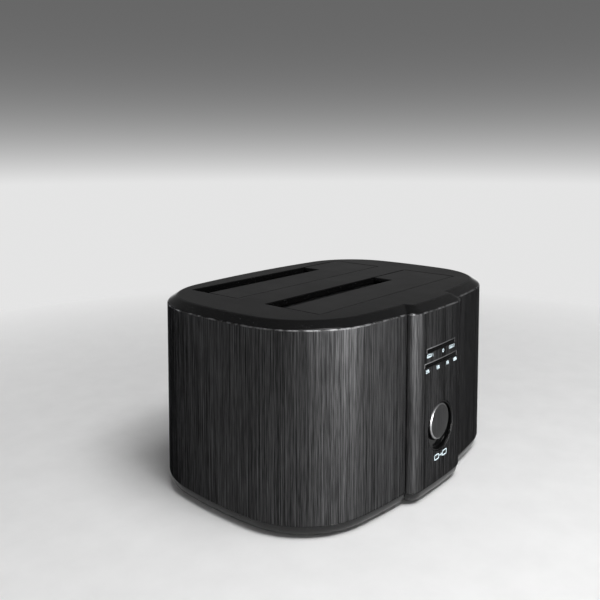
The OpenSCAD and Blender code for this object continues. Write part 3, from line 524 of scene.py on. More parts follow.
def brushed_finish(name, dark, light, low, high):
    """Upright brushed lacquer, worn bright on the wall's cut edge, with a painted highlight on the
    windows' rims.
    """
    made = Finish(name, Metallic=1.0, Specular_Tint=(*grey(0.12), 1))
    tree, streak = made.tree, made.group(BRUSHING)
    cut = ranged(tree, made.axes()["Z"], (WALL_TOP - 0.62) * MM, (WALL_TOP - 0.30) * MM, 0, 1)
    patches = noise(tree, stretched(tree, made.at, (420, 420, 60)), 1, 3, 0.6)
    worn = times(tree, cut, ranged(tree, patches, 0.42, 0.60, 0.1, 1))
    # The wall's bare cut edge is wear; the windows' rims add a painted highlight to the same colour
    bare_edge_and_painted_rims = times(tree, math_node(tree, "MAXIMUM", worn, painted_window_highlights(made)), EDGE_AND_PAINTED_RIM_SHINE)
    shade = math_node(tree, "POWER", streak["Streak"], STREAK_POWER)
    made.colour(plus(tree, shade, bare_edge_and_painted_rims), dark, light, clamp=False)
    made.roughness(streak["Streak"], low, high)
    made.bump(streak["Height"], 0.5, 0.05)
    return made.material


def button_finish(name, dark, light, low, high):
    """Softer brushing, and a bright turned chamfer by distance from the button's axis."""
    made = Finish(name, Metallic=1.0)
    tree, streak = made.tree, made.group(BRUSHING)
    axis = node(tree, "ShaderNodeVectorMath", [(0, made.at)], operation="SUBTRACT")
    axis.inputs[1].default_value = (0, 0, BUTTON_Z * MM)
    flat = stretched(tree, axis.outputs[0], (1, 0, 1))
    reach = node(tree, "ShaderNodeVectorMath", [(0, flat)], operation="LENGTH").outputs["Value"]
    chamfer = times(tree, ranged(tree, reach, *(r * MM for r in CHAMFER_FROM), 0, 1),
                    ranged(tree, reach, *(r * MM for r in CHAMFER_TO), 1, 0))
    shade = plus(tree, streak["Streak"], times(tree, chamfer, CHAMFER_SHINE))
    made.colour(shade, dark, light, clamp=False)
    plain = ranged(tree, streak["Streak"], 0, 1, low, high)
    made.link(math_node(tree, "SUBTRACT", plain, times(tree, chamfer, CHAMFER_POLISH)), "Roughness")
    made.bump(streak["Height"], 0.2, 0.03)
    return made.material


def gloss_finish(name, tint, low, high, shine=0.35):
    """Polished moulding with faint handling marks."""
    made = Finish(name, Specular_IOR_Level=shine)
    marks = made.group(DUST)
    made.colour(marks["Speck"], tint, dusty(tint))
    made.roughness(marks["Wipe"], low, high)
    return made.material


def lid_finish(name, tint, polish, satin):
    """Polished bevel with specks of dust that turns to fine satin on the flat top, by height."""
    made = Finish(name, Specular_IOR_Level=0.2)
    tree, marks, skin = made.tree, made.group(DUST), made.group(GRAIN)
    flat = ranged(tree, made.axes()["Z"], (TOP_Z - 0.12) * MM, (TOP_Z - 0.02) * MM, 0, 1)
    made.colour(times(tree, marks["Speck"], ranged(tree, flat, 0, 1, 1, 0)), tint, dusty(tint))
    play = times(tree, plus(tree, marks["Wipe"], skin["Cloud"]), LID_PLAY)
    made.link(plus(tree, ranged(tree, flat, 0, 1, polish, satin), play), "Roughness")
    return made.material


def moulded_finish(name, dark, light, low, high, scale=2500.0, depth=0.01):
    """Satin moulding with a fine skin."""
    made = Finish(name, Specular_IOR_Level=0.3)
    skin = made.group(GRAIN, Scale=scale)
    made.colour(skin["Cloud"], dark, light)
    made.roughness(skin["Cloud"], low, high)
    made.bump(skin["Height"], 0.4, depth)
    return made.material


def metal_finish(name, dark, light, low, high):
    """Plated metal with slow clouding and a fine play of roughness."""
    made = Finish(name, Metallic=1.0)
    skin = made.group(GRAIN, Scale=900.0)
    made.colour(skin["Cloud"], dark, light)
    made.roughness(skin["Height"], low, high)
    return made.material


# Colours from dark to light, roughness from low to high, then the grain's scale and depth
MOULDED = {
    "satin_black": (grey(0.010), grey(0.014), 0.34, 0.42),
    "inner_black": (grey(0.026), grey(0.038), 0.45, 0.58, 1800.0, 0.02),
    "board_green": ((0.010, 0.085, 0.030), (0.018, 0.13, 0.05), 0.30, 0.42, 700.0, 0.03),
    "chip_black": (grey(0.016), grey(0.024), 0.5, 0.62, 3000.0, 0.02),
    "coil_grey": (grey(0.05), grey(0.075), 0.6, 0.75, 1500.0, 0.04),
    "tongue_blue": ((0.02, 0.09, 0.36), (0.03, 0.13, 0.46), 0.35, 0.5),
    "led_white": (grey(0.75), grey(0.85), 0.29, 0.38),
    "plunger_red": ((0.28, 0.03, 0.025), (0.38, 0.05, 0.04), 0.4, 0.55),
    "ribbon_grey": (grey(0.26), grey(0.33), 0.45, 0.6, 1200.0, 0.03),
    "header_ivory": ((0.68, 0.62, 0.48), (0.78, 0.72, 0.58), 0.4, 0.55),
    "foot_rubber": (grey(0.028), grey(0.042), 0.75, 0.9, 1600.0, 0.05),
}
METAL = {
    "zinc_steel": ((0.52, 0.53, 0.55), (0.66, 0.67, 0.69), 0.29, 0.42),
    "spring_steel": ((0.42, 0.42, 0.43), (0.58, 0.58, 0.60), 0.29, 0.40),
    "socket_plate": ((0.62, 0.62, 0.62), (0.74, 0.74, 0.74), 0.12, 0.26),
    "gold_contact": ((0.74, 0.50, 0.16), (0.86, 0.64, 0.26), 0.29, 0.38),
    "can_alu": ((0.66, 0.66, 0.67), (0.78, 0.78, 0.79), 0.29, 0.42),
}
FINISH = {
    "brushed_black": brushed_finish("brushed_black", grey(0.009), grey(0.104), 0.54, 0.42),
    "gloss_black": gloss_finish("gloss_black", grey(0.006), 0.06, 0.14),
    "dark_window": gloss_finish("dark_window", grey(0.002), 0.05, 0.12, 0.015),
}
FINISH.update((name, moulded_finish(name, *values)) for name, values in MOULDED.items())
FINISH.update((name, metal_finish(name, *values)) for name, values in METAL.items())
RECESS = gloss_finish("recess_black", grey(0.003), 0.08, 0.16, 0.15)
BUTTON = button_finish("button_black", grey(0.016), grey(0.046), 0.55, 0.42)
LID = lid_finish("lid_black", grey(0.006), 0.07, 0.29)
PRINT = moulded_finish("printed_white", (0.50, 0.60, 0.64), (0.57, 0.67, 0.71), 0.5, 0.6)
for row in frame["record"]["subparts"]:
    nodes[row["node"]].data.materials.clear()
    nodes[row["node"]].data.materials.append(FINISH[row["material_slot"]])


# Brushed sleeve with its socket recess

def recess_loops(y):
    """Edges of the three socket openings on a plane across Y."""
    usb = box_loop((USB_X - USB_HALF, USB_Z[0]), (USB_X + USB_HALF, USB_Z[1]), 0.6)
    switch = box_loop((SWITCH_X - SWITCH_HALF, SWITCH_Z - SWITCH_TALL),
                      (SWITCH_X + SWITCH_HALF, SWITCH_Z + SWITCH_TALL), 0.4)
    return [at_y(q, y) for q in (usb, switch, circle((DC_X, DC_Z), DC_R, 48))]


def wall_rows(levels, foot_in, foot_up):
    """Face of a wall as (inset, height): eased foot, the levels of the face, eased head."""
    foot = curve((foot_in, WALL_Z), (0, WALL_Z), (0, WALL_Z + foot_up), FOOT_POINTS)
    head = curve((0, WALL_TOP - WALL_EASE), (0, WALL_TOP), (WALL_EASE, WALL_TOP), 8)
    return np.concatenate([foot, np.column_stack([levels * 0, levels]), head])


def make_sleeve():
    """Wall profile carried round the open plan: outer face with eased edges, then the inner
    face. Cells over the socket recess are left out and its flat pad is set in."""
    piece = Piece()
    outer = wall_rows(np.array([6.2, 8, PORT_Z[0], 22, PORT_Z[1], 45, 60, 72]), 0.5, 0.4)
    inner_z = np.array([WALL_TOP, PAD_Z[1], PAD_Z[0], WALL_Z])
    profile = np.concatenate([outer, np.column_stack([inner_z * 0 + WALL_T, inner_z]), outer[:1]])
    right = right_side(profile[:, 0], PANEL_HALF + PANEL_GROOVE)
    p = lift(both_sides(right, False), profile[:, 1])
    line, z_of = p[FOOT_POINTS], p[:, 0, 2]
    at_back = line[:, 1] > HALF_D / 2
    mid_x, mid_z = (line[:-1, 0] + line[1:, 0]) / 2, (z_of[:-1] + z_of[1:]) / 2

    def window(x, z):
        """Cells of the back between two places along X and two heights."""
        across = at_back[:-1] & (mid_x > x[0]) & (mid_x < x[1])
        return across & ((mid_z > z[0]) & (mid_z < z[1]))[:, None]
    outside = np.arange(len(mid_z))[:, None] < len(outer) - 1
    cut = (outside & window(PORT_X, PORT_Z)) | (~outside & window(PAD_X, PAD_Z))
    piece.grid(p, keep=~cut)
    piece.cap(p[:-1, 0])
    piece.cap(p[:-1, -1])
    for x, z, rows, y in ((PORT_X, PORT_Z, np.arange(len(outer)), PORT_Y),
                          (PAD_X, PAD_Z, np.arange(len(outer), len(p) - 1), PORT_IN)):
        cols = np.flatnonzero(at_back & (line[:, 0] > x[0] - NEAR) & (line[:, 0] < x[1] + NEAR))
        rows = rows[(z_of[rows] > z[0] - NEAR) & (z_of[rows] < z[1] + NEAR)]
        q = p[np.ix_(rows, cols)]
        loop = np.concatenate([q[0, :-1], q[:-1, -1], q[-1, :0:-1], q[:0:-1, 0]])
        sunk = loop * (1, 0, 1) + (0, y, 0)
        piece.grid(np.stack([loop, sunk]), wrap=True)
        piece.flat([sunk] + recess_loops(y))
    for near, away in zip(recess_loops(PORT_Y), recess_loops(PORT_IN)):
        piece.grid(np.stack([near, away]), wrap=True)
    piece.make("brushed_sleeve", "housing", "outer_shell", "brushed_black")


# Raised front panel

# Columns and rows of the panel's face; the round hole has a cell of its own, the slots one each
SLOT_TALL = WINDOW_H / 2 + SLOT_EASE
HUB_CELL, HUB_TALL = 13.4, 13.6
PANEL_X = np.array([0, 1.3, 2.6, 3.9, 5.2, 6.5, 7.8, 9.1, 10.4, UPPER_HALF + SLOT_EASE, 12.0,
                    LOWER_HALF + SLOT_EASE, HUB_CELL, 14.2])
PANEL_Z = np.array([5.8, 8, 11, HUB_Z - HUB_TALL, 16.9, 19.6, 22.3, 25.1, 27.8, 30.5, 33.3, 36,
                    38.7, HUB_Z + HUB_TALL, 45, 50, LOWER_Z - SLOT_TALL, LOWER_Z + SLOT_TALL, 58,
                    UPPER_Z - SLOT_TALL, UPPER_Z + SLOT_TALL, 66, 71, 75])


def panel_face_y(x, depth):
    """The panel's bowed face at x, sunk by depth."""
    return front_y(x, depth) - PANEL_OUT


def make_panel():
    """Closed plan of the channel at each height: bowed face, rounded edges, short sides, and the
    same face again a wall's thickness inside. Chamfered slots and the round hole are left out of
    the grid; rings from the hole's square cell to its circle fill in round it."""
    piece = Piece()
    rows = wall_rows(PANEL_Z, 0.4, 0.5)
    back = front_y(PANEL_HALF, WALL_T + FIT + LIP_T)

    def half(inset):
        """Right half of the plan, with the short side at its end."""
        side = panel_side(inset, PANEL_X)
        end = np.stack([side[:, -1, 0], np.full(len(side), back)], -1)
        return np.concatenate([side, end[:, None]], axis=1)
    outer, inner = half(rows[:, 0]), half(np.full(len(rows), PANEL_T))
    p = lift(np.concatenate([outer[:, :0:-1] * (-1, 1), outer, inner[:, ::-1],
                             inner[:, 1:] * (-1, 1)], axis=1), rows[:, 1])
    mid = (p[:-1] + np.roll(p, -1, axis=1)[1:]) / 2
    away, height = np.abs(mid[..., 0]), mid[..., 2]
    cut = (away < HUB_CELL) & (np.abs(height - HUB_Z) < HUB_TALL)
    for half_w, z in WINDOWS:
        cut |= (away < half_w + SLOT_EASE) & (np.abs(height - z) < SLOT_TALL)
    piece.grid(p, wrap=True, keep=~cut)
    piece.flat([p[0]])
    piece.flat([p[-1]])

    across = np.concatenate([-PANEL_X[:0:-1], PANEL_X])
    for half_w, z in WINDOWS:
        wide = half_w + SLOT_EASE
        x = across[np.abs(across) < wide + NEAR]
        side = np.repeat([-1, 1], len(x))
        slot = []
        for g, depth in ((SLOT_EASE, 0), (0, SLOT_EASE), (0, PANEL_T - SLOT_EASE),
                         (SLOT_EASE, PANEL_T)):
            loop_x = np.concatenate([x, x[::-1]]) * (half_w + g) / wide
            loop_z = z + side * (WINDOW_H / 2 + g)
            slot.append(np.column_stack([loop_x, panel_face_y(loop_x, depth), loop_z]))
        piece.grid(np.stack(slot), wrap=True)

    x = across[np.abs(across) < HUB_CELL + NEAR]
    z = PANEL_Z[np.abs(PANEL_Z - HUB_Z) < HUB_TALL + NEAR]
    cell_x = np.concatenate([x[:-1], z[:-1] * 0 + x[-1], x[:0:-1], z[:0:-1] * 0 + x[0]])
    cell_z = np.concatenate([x[:-1] * 0 + z[0], z[:-1], x[:0:-1] * 0 + z[-1], z[:0:-1]])
    angle = np.arctan2(cell_z - HUB_Z, cell_x)

    def ring(radius, depth, share):
        """Loop that is a share of the way from the cell's edge to a circle."""
        px = cell_x * (1 - share) + radius * np.cos(angle) * share
        pz = cell_z * (1 - share) + (HUB_Z + radius * np.sin(angle)) * share
        return np.column_stack([px, panel_face_y(px, depth), pz])
    rings = [ring(HUB_R + RIM_EASE, 0, share) for share in np.linspace(0, 1, 6)]
    rings += [ring(HUB_R + RIM_EASE * (1 - math.sin(t)), RIM_EASE * (1 - math.cos(t)), 1)
              for t in np.linspace(0.3, math.pi / 2, 5)]
    rings += [ring(HUB_R, PANEL_T, share) for share in np.linspace(1, 0, 6)]
    piece.grid(np.stack(rings), wrap=True)

    for sx in (-1, 1):
        x = sx * np.linspace(PANEL_HALF - PANEL_T, PANEL_HALF + LIP_REACH, 7)
        lip = np.concatenate([np.column_stack([x, front_y(x, WALL_T + FIT)]),
                              np.column_stack([x, front_y(x, WALL_T + FIT + LIP_T)])[::-1]])
        piece.solid(lift([lip, lip], (WALL_Z, WALL_TOP)))
    piece.make("front_panel_brushed", "housing", "front_panel", "brushed_black")


# Lid and base

def make_lid():
    """Bevel profile carried round the closed plan, with eased edges, then the flat top and
    underside with their two bay mouths, whose edges are eased too."""
    piece = Piece()
    rise = (TOP_Z - WALL_TOP) / BEVEL_W
    low = curve((0.8, WALL_TOP), (0.05, WALL_TOP), (0.6, WALL_TOP + 0.6 * rise), 9)
    slope = np.linspace(0.9, BEVEL_W - 0.8, 6)
    high = curve((BEVEL_W - 0.7, TOP_Z - 0.7 * rise), (BEVEL_W, TOP_Z), (BEVEL_W + 0.9, TOP_Z), 8)
    slope = np.column_stack([slope, WALL_TOP + slope * rise])
    p = rim(np.concatenate([[(3.0, WALL_TOP), (1.2, WALL_TOP)], low, slope, high, [(6.0, TOP_Z)]]))
    piece.grid(p, wrap=True)
    ease = curve((MOUTH_EASE, TOP_Z), (0, TOP_Z), (0, TOP_Z - MOUTH_EASE), 5)
    rows = np.concatenate([[(FLAT_RING, TOP_Z)], ease, [(0, WALL_TOP)]])
    mouths = [lift([box_loop((-BAY_HALF, front), (BAY_HALF, front + BAY_D), 0.5, g)
                    for g in rows[:, 0]], rows[:, 1]) for front in BAY_FRONTS]
    for mouth in mouths:
        piece.grid(mouth, wrap=True)
    piece.flat([p[-1]] + [mouth[0] for mouth in mouths])
    piece.flat([p[0]] + [mouth[-1] for mouth in mouths])
    piece.make("bevelled_lid", "housing", "top_cover", "gloss_black", LID)


def make_base():
    """Quarter-round profile carried round the closed plan, the flat underside with its foot and
    screw wells, and the tray's floor."""
    piece = Piece()
    t = np.linspace(0, np.pi / 2, 12)
    side = np.column_stack([BASE_REVEAL + (BASE_IN - BASE_REVEAL) * (1 - np.cos(t)),
                            FOOT_H + (WALL_Z - 0.2 - FOOT_H) * (1 - np.sin(t))])
    head = curve((BASE_REVEAL + 0.3, WALL_Z), (BASE_REVEAL, WALL_Z), (BASE_REVEAL, WALL_Z - 0.2), 4)
    tray = [(4.5, 3.2), (4.5, WALL_Z), (1.5, WALL_Z)]
    p = rim(np.concatenate([tray, head, side[1:], [(3.6, FOOT_H)]]))
    piece.grid(p, wrap=True)
    wells = [(spot, FOOT_WELL_R, FOOT_TOP) for spot in FEET]
    wells += [(spot, SCREW_WELL_R, SCREW_WELL_TOP) for spot in SCREW_WELLS]
    mouths = []
    for spot, radius, height in wells:
        wall = lift([circle(spot, radius + g, 48) for g in (RIM_EASE, 0, 0)],
                    (FOOT_H, FOOT_H + RIM_EASE, height))
        piece.grid(wall, wrap=True)
        piece.cap(wall[-1])
        mouths.append(wall[0])
    piece.flat([p[-1]] + mouths)
    piece.flat([p[0]])
    piece.make("glossy_base", "housing", "base_tray", "gloss_black")


# Flaps, springs and hinge details

def flap_loop(front, inset):
    """L-shaped flap outline drawn in by inset, with eased corners."""
    left, right = -BAY_HALF + FLAP_GAP + inset, BAY_HALF - FLAP_GAP - inset
    near, back = front + FLAP_GAP + inset, front + BAY_D - FLAP_BACK_GAP - inset
    step_x, step_y = -BAY_HALF + NOTCH_W + inset, front + BAY_D - NOTCH_D - inset
    return rounded_loop([(left, near), (right, near), (right, back), (step_x, back),
                         (step_x, step_y), (left, step_y)], 0.6)


def make_flap(name, node_name, front):
    """Plate profile carried round the L-shaped loop; hinge barrels and arms, a stiffener and the
    spring's seat below it."""
    piece = Piece()
    bottom = TOP_Z - FLAP_T
    ease = curve((0, TOP_Z - MOUTH_EASE), (0, TOP_Z), (MOUTH_EASE, TOP_Z), 5)
    rows = np.concatenate([[(0.3, bottom), (0.0, bottom + 0.3)], ease, [(FLAT_RING, TOP_Z)]])
    piece.solid(lift([flap_loop(front, inset) for inset in rows[:, 0]], rows[:, 1]))
    # What hangs below the plate reaches a little into it
    under, stop, seat = bottom + 0.2, PIN_Z + 2.05, PIN_Z + 1.95
    y, rib_y = front - PIN_AHEAD, front + BAY_D - NOTCH_D
    ring, bore = (circle((y, PIN_Z), radius, 32) for radius in (BARREL_R, BARREL_BORE))
    arm = [(y + 1.15, PIN_Z - 0.9), (y + 8.8, PIN_Z + 1.6), (y + 8.8, under), (y + 4.1, under),
           (y + 4.1, stop), (y + 1.15, stop)]
    for side in (-BARREL_X, BARREL_X):
        low, high = side - BARREL_HALF, side + BARREL_HALF
        piece.grid(np.stack([at_x(bore, low), at_x(ring, low), at_x(ring, high), at_x(bore, high),
                             at_x(bore, low)]), wrap=True)
        piece.prism(arm, low, high)
    rib = box_corners((rib_y - 2.2, bottom - 1.2), (rib_y - 1, under))
    piece.prism(rib, -BAY_HALF + 3.3, BAY_HALF - 3.3)
    piece.prism(box_corners((front + 3.3, seat), (front + 9.3, under)), 1.52, 4.52)
    piece.make(name, node_name, node_name, "satin_black")


COIL_R, WIRE_R, COIL_PITCH, COIL_TURNS = 1.6, 0.3, 1.15, 5.25
FIXED_LEG, MOVING_LEG, LEG_START = 8.0, 14.0, 0.4


def make_spring(name, node_name, front):
    """Wire carried along a leg, the turns x = pitch n, (y, z) = r (cos, sin)(180 - 360 n), and the
    leg under the flap. It twists between the cradle and the flap along X."""
    half = COIL_PITCH * COIL_TURNS / 2
    n = np.linspace(0, COIL_TURNS, 170)
    t = np.pi - 2 * np.pi * n
    turns = np.column_stack([COIL_PITCH * n - half, COIL_R * np.cos(t), COIL_R * np.sin(t)])
    drop = np.linspace(FIXED_LEG, LEG_START, 12)
    fixed = np.column_stack([drop * 0 - half, drop * 0 - COIL_R, -drop])
    run = np.linspace(LEG_START, MOVING_LEG, 16)
    moving = np.column_stack([run * 0 + half, run, run * 0 + COIL_R])
    path = np.concatenate([fixed, turns, moving]) + (0, front - PIN_AHEAD, PIN_Z)
    along = unit(np.gradient(path, axis=0))
    u = unit(np.array([1.0, 0, 0]) - along[:, :1] * along)
    v = np.cross(along, u)
    a = np.linspace(0, 2 * np.pi, 12, endpoint=False)[None, :, None]
    p = path[:, None] + WIRE_R * (np.cos(a) * u[:, None] + np.sin(a) * v[:, None])
    piece = Piece()
    piece.solid(p)
    made = piece.make(name, None, node_name, "spring_steel", sharp=60)
    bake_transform(made)


# Button, recess, windows and marks on the panel

FACE_Y = -HALF_D - PANEL_OUT


def make_button():
    """Domed face, rounded shoulder, skirt, flange and stem, turned about Y."""
    r = np.linspace(0, 6.5, 14)
    dome = np.column_stack([r, 0.1 + 0.28 * (r / 6.8) ** 2])
    shoulder = np.concatenate([curve((6.5, 0.36), (6.85, 0.40), (7.05, 0.55), 5),
                               curve((7.3, 0.74), (7.6, 0.95), (BUTTON_R, 1.35), 6)])
    skirt = [(BUTTON_R, 1.5), (BUTTON_R, 4.0)]
    back = [(8.8, 4.0), (8.8, 5.0), (2.0, 5.0), (2.0, 5.5), (0, 5.5)]
    piece = Piece()
    piece.lathe(np.concatenate([dome, shoulder, skirt, back]), (0, FACE_Y, BUTTON_Z), "y", 128)
    piece.make("push_button", "button", "copy_button", "brushed_black", BUTTON)


def make_bezel():
    """Round recess with an off-centre bore: circles slide from the recess's centre to the
    button's as they shrink from the rim to the bore. Rows give radius, slide and depth."""
    lip_r, floor_r = HUB_R - FIT, 9.25
    flange = [(BEZEL_R, 0, BEZEL_BACK), (BEZEL_R, 0, 2.65), (lip_r, 0, 2.65)]
    lip = [(lip_r - inset, 0, depth) for inset, depth in
           ((0, 0.55), (0.06, 0.42), (0.2, 0.35), (0.36, 0.40), (0.5, 0.6))]
    wall = [(9.6, 0, 1.9), (9.5, 0, 2.2)]
    floor = [(floor_r + (BUTTON_BORE + 0.2 - floor_r) * s, 0.1 + 0.9 * s, RECESS_DEPTH)
             for s in np.linspace(0, 1, 6)]
    bore = [(BUTTON_BORE, 1, RECESS_DEPTH + 0.2), (BUTTON_BORE, 1, BEZEL_BACK)]
    rows = flange + lip + wall + floor + bore + flange[:1]
    loops = []
    for radius, slide, depth in rows:
        middle = (0, HUB_Z + (BUTTON_Z - HUB_Z) * slide)
        loops.append(at_y(circle(middle, radius, 128), FACE_Y + depth))
    piece = Piece()
    piece.grid(np.stack(loops), wrap=True)
    piece.make("button_recess", "housing", "button_bezel", "gloss_black", RECESS, 50)


def make_window(name, node_name, half_w, z):
    """Window section carried along the bowed face: a strip with eased edges, its guide to the
    lights, whose back is flat, and its flange. Sections are (height, depth)."""
    piece = Piece()
    tall, guide = WINDOW_H / 2 - FIT, 9.2
    strip = np.concatenate([curve((-tall, 0.42), (-tall, 0.25), (-tall + 0.2, 0.22), 4),
                            curve((tall - 0.2, 0.22), (tall, 0.25), (tall, 0.42), 4),
                            [(tall, guide), (-tall, guide)]])
    flange = np.array(box_corners((-1.7, PANEL_T + 0.02), (1.7, 3.4)))
    for section, reach in ((strip, half_w - FIT), (flange, half_w + 1.4)):
        height, depth = section.T
        x, up = np.meshgrid(np.linspace(-reach, reach, 40), z + height, indexing="ij")
        y = np.where(depth == guide, FACE_Y + depth, panel_face_y(x, 0) + depth)
        piece.solid(np.dstack([x, y, up]))
    piece.make(name, "housing", node_name, "dark_window")


def make_feet():
    """Rubber pads turned about Z: soft edge and a shallow dish in the tread."""
    piece = Piece()
    t = np.linspace(0, np.pi / 2, 8)
    edge = np.column_stack([FOOT_R - 0.6 * (1 - np.sin(t)), 0.6 * (1 - np.cos(t))])
    dish = [(0, 0.25), (3.4, 0.25), (3.8, 0.0)]
    profile = np.concatenate([dish, edge, [(FOOT_R, FOOT_TOP), (0, FOOT_TOP)]])
    for x, y in FEET:
        piece.lathe(profile, (x, y, 0), "z", 48)
    piece.make("rubber_pads", "housing", "rubber_feet", "foot_rubber")


ROCKER_TILT, ROCKER_HALF, ROCKER_TOP, ROCKER_PIVOT = math.radians(-8), 5.0, 4.1, 46.5
ROCKER_RISE = -ROCKER_HALF * math.tan(ROCKER_TILT)
ROCKER_AT = (SWITCH_X, ROCKER_PIVOT)
ROCKER_TURN = np.array([[math.cos(ROCKER_TILT), math.sin(ROCKER_TILT)],
                        [-math.sin(ROCKER_TILT), math.cos(ROCKER_TILT)]])


def make_rocker():
    """V-faced rocker on its pivot, drawn at its first stop, with eased edges."""
    end, high, middle = ROCKER_HALF, ROCKER_TOP + ROCKER_RISE, np.array([0, 1.0])
    loop = rounded_loop([(-4, -2), (4, -2), (end, 0), (end, high), (0, ROCKER_TOP), (-end, high),
                         (-end, 0)], [0.5, 0.5, 0.5, 0.5, 0.8, 0.5, 0.5], 5) - middle
    ease = (0.35, 0.1, 0, 0, 0.1, 0.35)
    along = np.array([-3.3, -3.2, -2.95, 2.95, 3.2, 3.3])
    turned = [(middle + loop * (1 - e / 4.5)) @ ROCKER_TURN + ROCKER_AT for e in ease]
    piece = Piece()
    piece.solid(lift(turned, SWITCH_Z + along))
    pivot = [(0, -4.3), (1, -4.3), (1, 4.3), (0, 4.3)]
    piece.lathe(pivot, (*ROCKER_AT, SWITCH_Z), "z", 32)
    piece.make("rocker_cap", "rocker", "power_rocker", "satin_black")


UPPER_MARKS, LOWER_MARKS, COPY_MARK = 59.1, 53.0, 15.6
PRINT_OUT, PRINT_IN = -0.02, 0.06


def add_stroke(piece, points, width, face, closed=False):
    """Printed line: a flat band along points, as a tube of four sides between the depths PRINT_OUT
    and PRINT_IN. face(u, v, depth) gives the place of a point of the face."""
    q = np.asarray(points, float)
    ahead = unit(np.roll(q, -1, 0) - np.roll(q, 1, 0) if closed else np.gradient(q, axis=0))
    side = np.column_stack([-ahead[:, 1], ahead[:, 0]]) * width / 2
    band = np.stack([q - side, q + side, q + side, q - side], axis=1)
    depth = np.broadcast_to([PRINT_OUT, PRINT_OUT, PRINT_IN, PRINT_IN], band.shape[:2])
    p = face(band[..., 0], band[..., 1], depth)
    if closed:
        piece.grid(np.concatenate([p, p[:1]]), wrap=True)
    else:
        piece.solid(p)


def make_marks():
    """Printed marks on the panel's bowed face: bay numbers, power, shares of a copy and copying."""
    piece = Piece()

    def face(x, z, depth):
        """Place on the panel's face."""
        return np.dstack([x, panel_face_y(x, 0) + depth, z])

    def stroke(points, width, closed=False):
        """Printed line on the panel."""
        add_stroke(piece, points, width, face, closed)

    # Signs on a field 1 wide and 2 tall, as an open line and closed rings
    lines = {"1": [(0.15, 1.6), (0.5, 2), (0.5, 1), (0.5, 0)],
             "2": [(0.1, 1.6), (0.3, 1.95), (0.7, 1.95), (0.9, 1.55), (0.8, 1.15), (0.1, 0),
                   (0.5, 0), (0.95, 0)],
             "5": [(0.9, 2), (0.2, 2), (0.15, 1.15), (0.6, 1.25), (0.9, 0.85), (0.85, 0.3),
                   (0.5, 0), (0.1, 0.15)],
             "7": [(0.1, 2), (0.9, 2), (0.6, 1), (0.4, 0)], "%": [(0.1, 0), (0.5, 1), (0.9, 2)]}
    rings = {"0": [box_loop((0.1, 0), (0.9, 2), 0.38)],
             "%": [circle((0.12, 1.65), 0.26, 14), circle((0.88, 0.35), 0.26, 14)]}

    def number(text, x, z, h, width):
        """Signs in a row about x, h tall."""
        pitch = 0.66 * h
        first = x - pitch * (len(text) - 1) / 2 - 0.25 * h
        for k, sign in enumerate(text):
            corner = (first + k * pitch, z - h / 2)
            if sign in lines:
                stroke(np.asarray(lines[sign]) * h / 2 + corner, width)
            for loop in rings.get(sign, []):
                stroke(loop * h / 2 + corner, width, True)

    z = UPPER_MARKS
    for x, text in ((-8.6, "1"), (9.0, "2")):
        stroke(box_loop((x - 2.8, z - 0.55), (x + 0.2, z + 0.55), 0.2), 0.26, True)
        stroke([(x - 2.2, z - 0.1), (x - 1.3, z - 0.1), (x - 0.4, z - 0.1)], 0.22)
        number(text, x + 1.3, z, 1.2, 0.28)
    x, t = 0.8, np.linspace(np.radians(130), np.radians(410), 24)
    stroke(np.column_stack([x + 0.65 * np.cos(t), z - 0.05 + 0.65 * np.sin(t)]), 0.26)
    stroke([(x, z + 0.05), (x, z + 0.4), (x, z + 0.8)], 0.26)
    for x, text in ((-11.2, "25%"), (-3.2, "50%"), (4.6, "75%"), (11.4, "100%")):
        number(text, x, LOWER_MARKS, 1.2, 0.26)
    z = COPY_MARK
    for x in (-3.2, 3.2):
        stroke(box_loop((x - 1.6, z - 0.95), (x + 1.6, z + 0.95), 0.3), 0.38, True)
    stroke([(-1.0, z), (0.0, z), (0.9, z)], 0.36)
    stroke([(0.25, z + 0.6), (0.9, z), (0.25, z - 0.6)], 0.34)
    piece.make("printed_marks", "housing", material=PRINT)


def make_rocker_marks():
    """Line and ring on the two sloping faces of the rocker, turned with it."""
    piece = Piece()

    def face(u, z, depth):
        """Place on the rocker's V."""
        out = ROCKER_TOP + ROCKER_RISE * np.abs(u) / ROCKER_HALF - depth
        return np.dstack([np.dstack([u, out]) @ ROCKER_TURN + ROCKER_AT, SWITCH_Z + z])
    add_stroke(piece, [(-2.9, -1.3), (-2.9, 0.0), (-2.9, 1.3)], 0.4, face)
    add_stroke(piece, box_loop((2.1, -1.3), (3.7, 1.3), 0.75), 0.4, face, True)
    piece.make("rocker_marks", "rocker", material=PRINT)


make_sleeve()
make_panel()
make_lid()
make_base()
BAYS = tuple(zip(("front", "rear"), BAY_FRONTS))
for bay, bay_front in BAYS:
    make_flap(bay + "_bay_flap", bay + "_flap", bay_front)
for bay, bay_front in BAYS:
    make_spring(bay + "_wire_spring", bay + "_flap_spring", bay_front)
make_button()
make_bezel()
for level, window in zip(("upper", "lower"), WINDOWS):
    make_window(level + "_window_strip", level + "_light_window", *window)
make_feet()
make_rocker()
make_marks()
make_rocker_marks()


# Floor, backdrop, lamps and camera

# The floor's bend, the reach over which its glow sets in, the glow's range and its fall per metre
BEND_AT, BEND_R = 2.6, 1.2
GLOW_REACH, GLOW_RANGE, GLOW_FALL = (0.12, 0.40), (0.13, 0.78), 0.0067


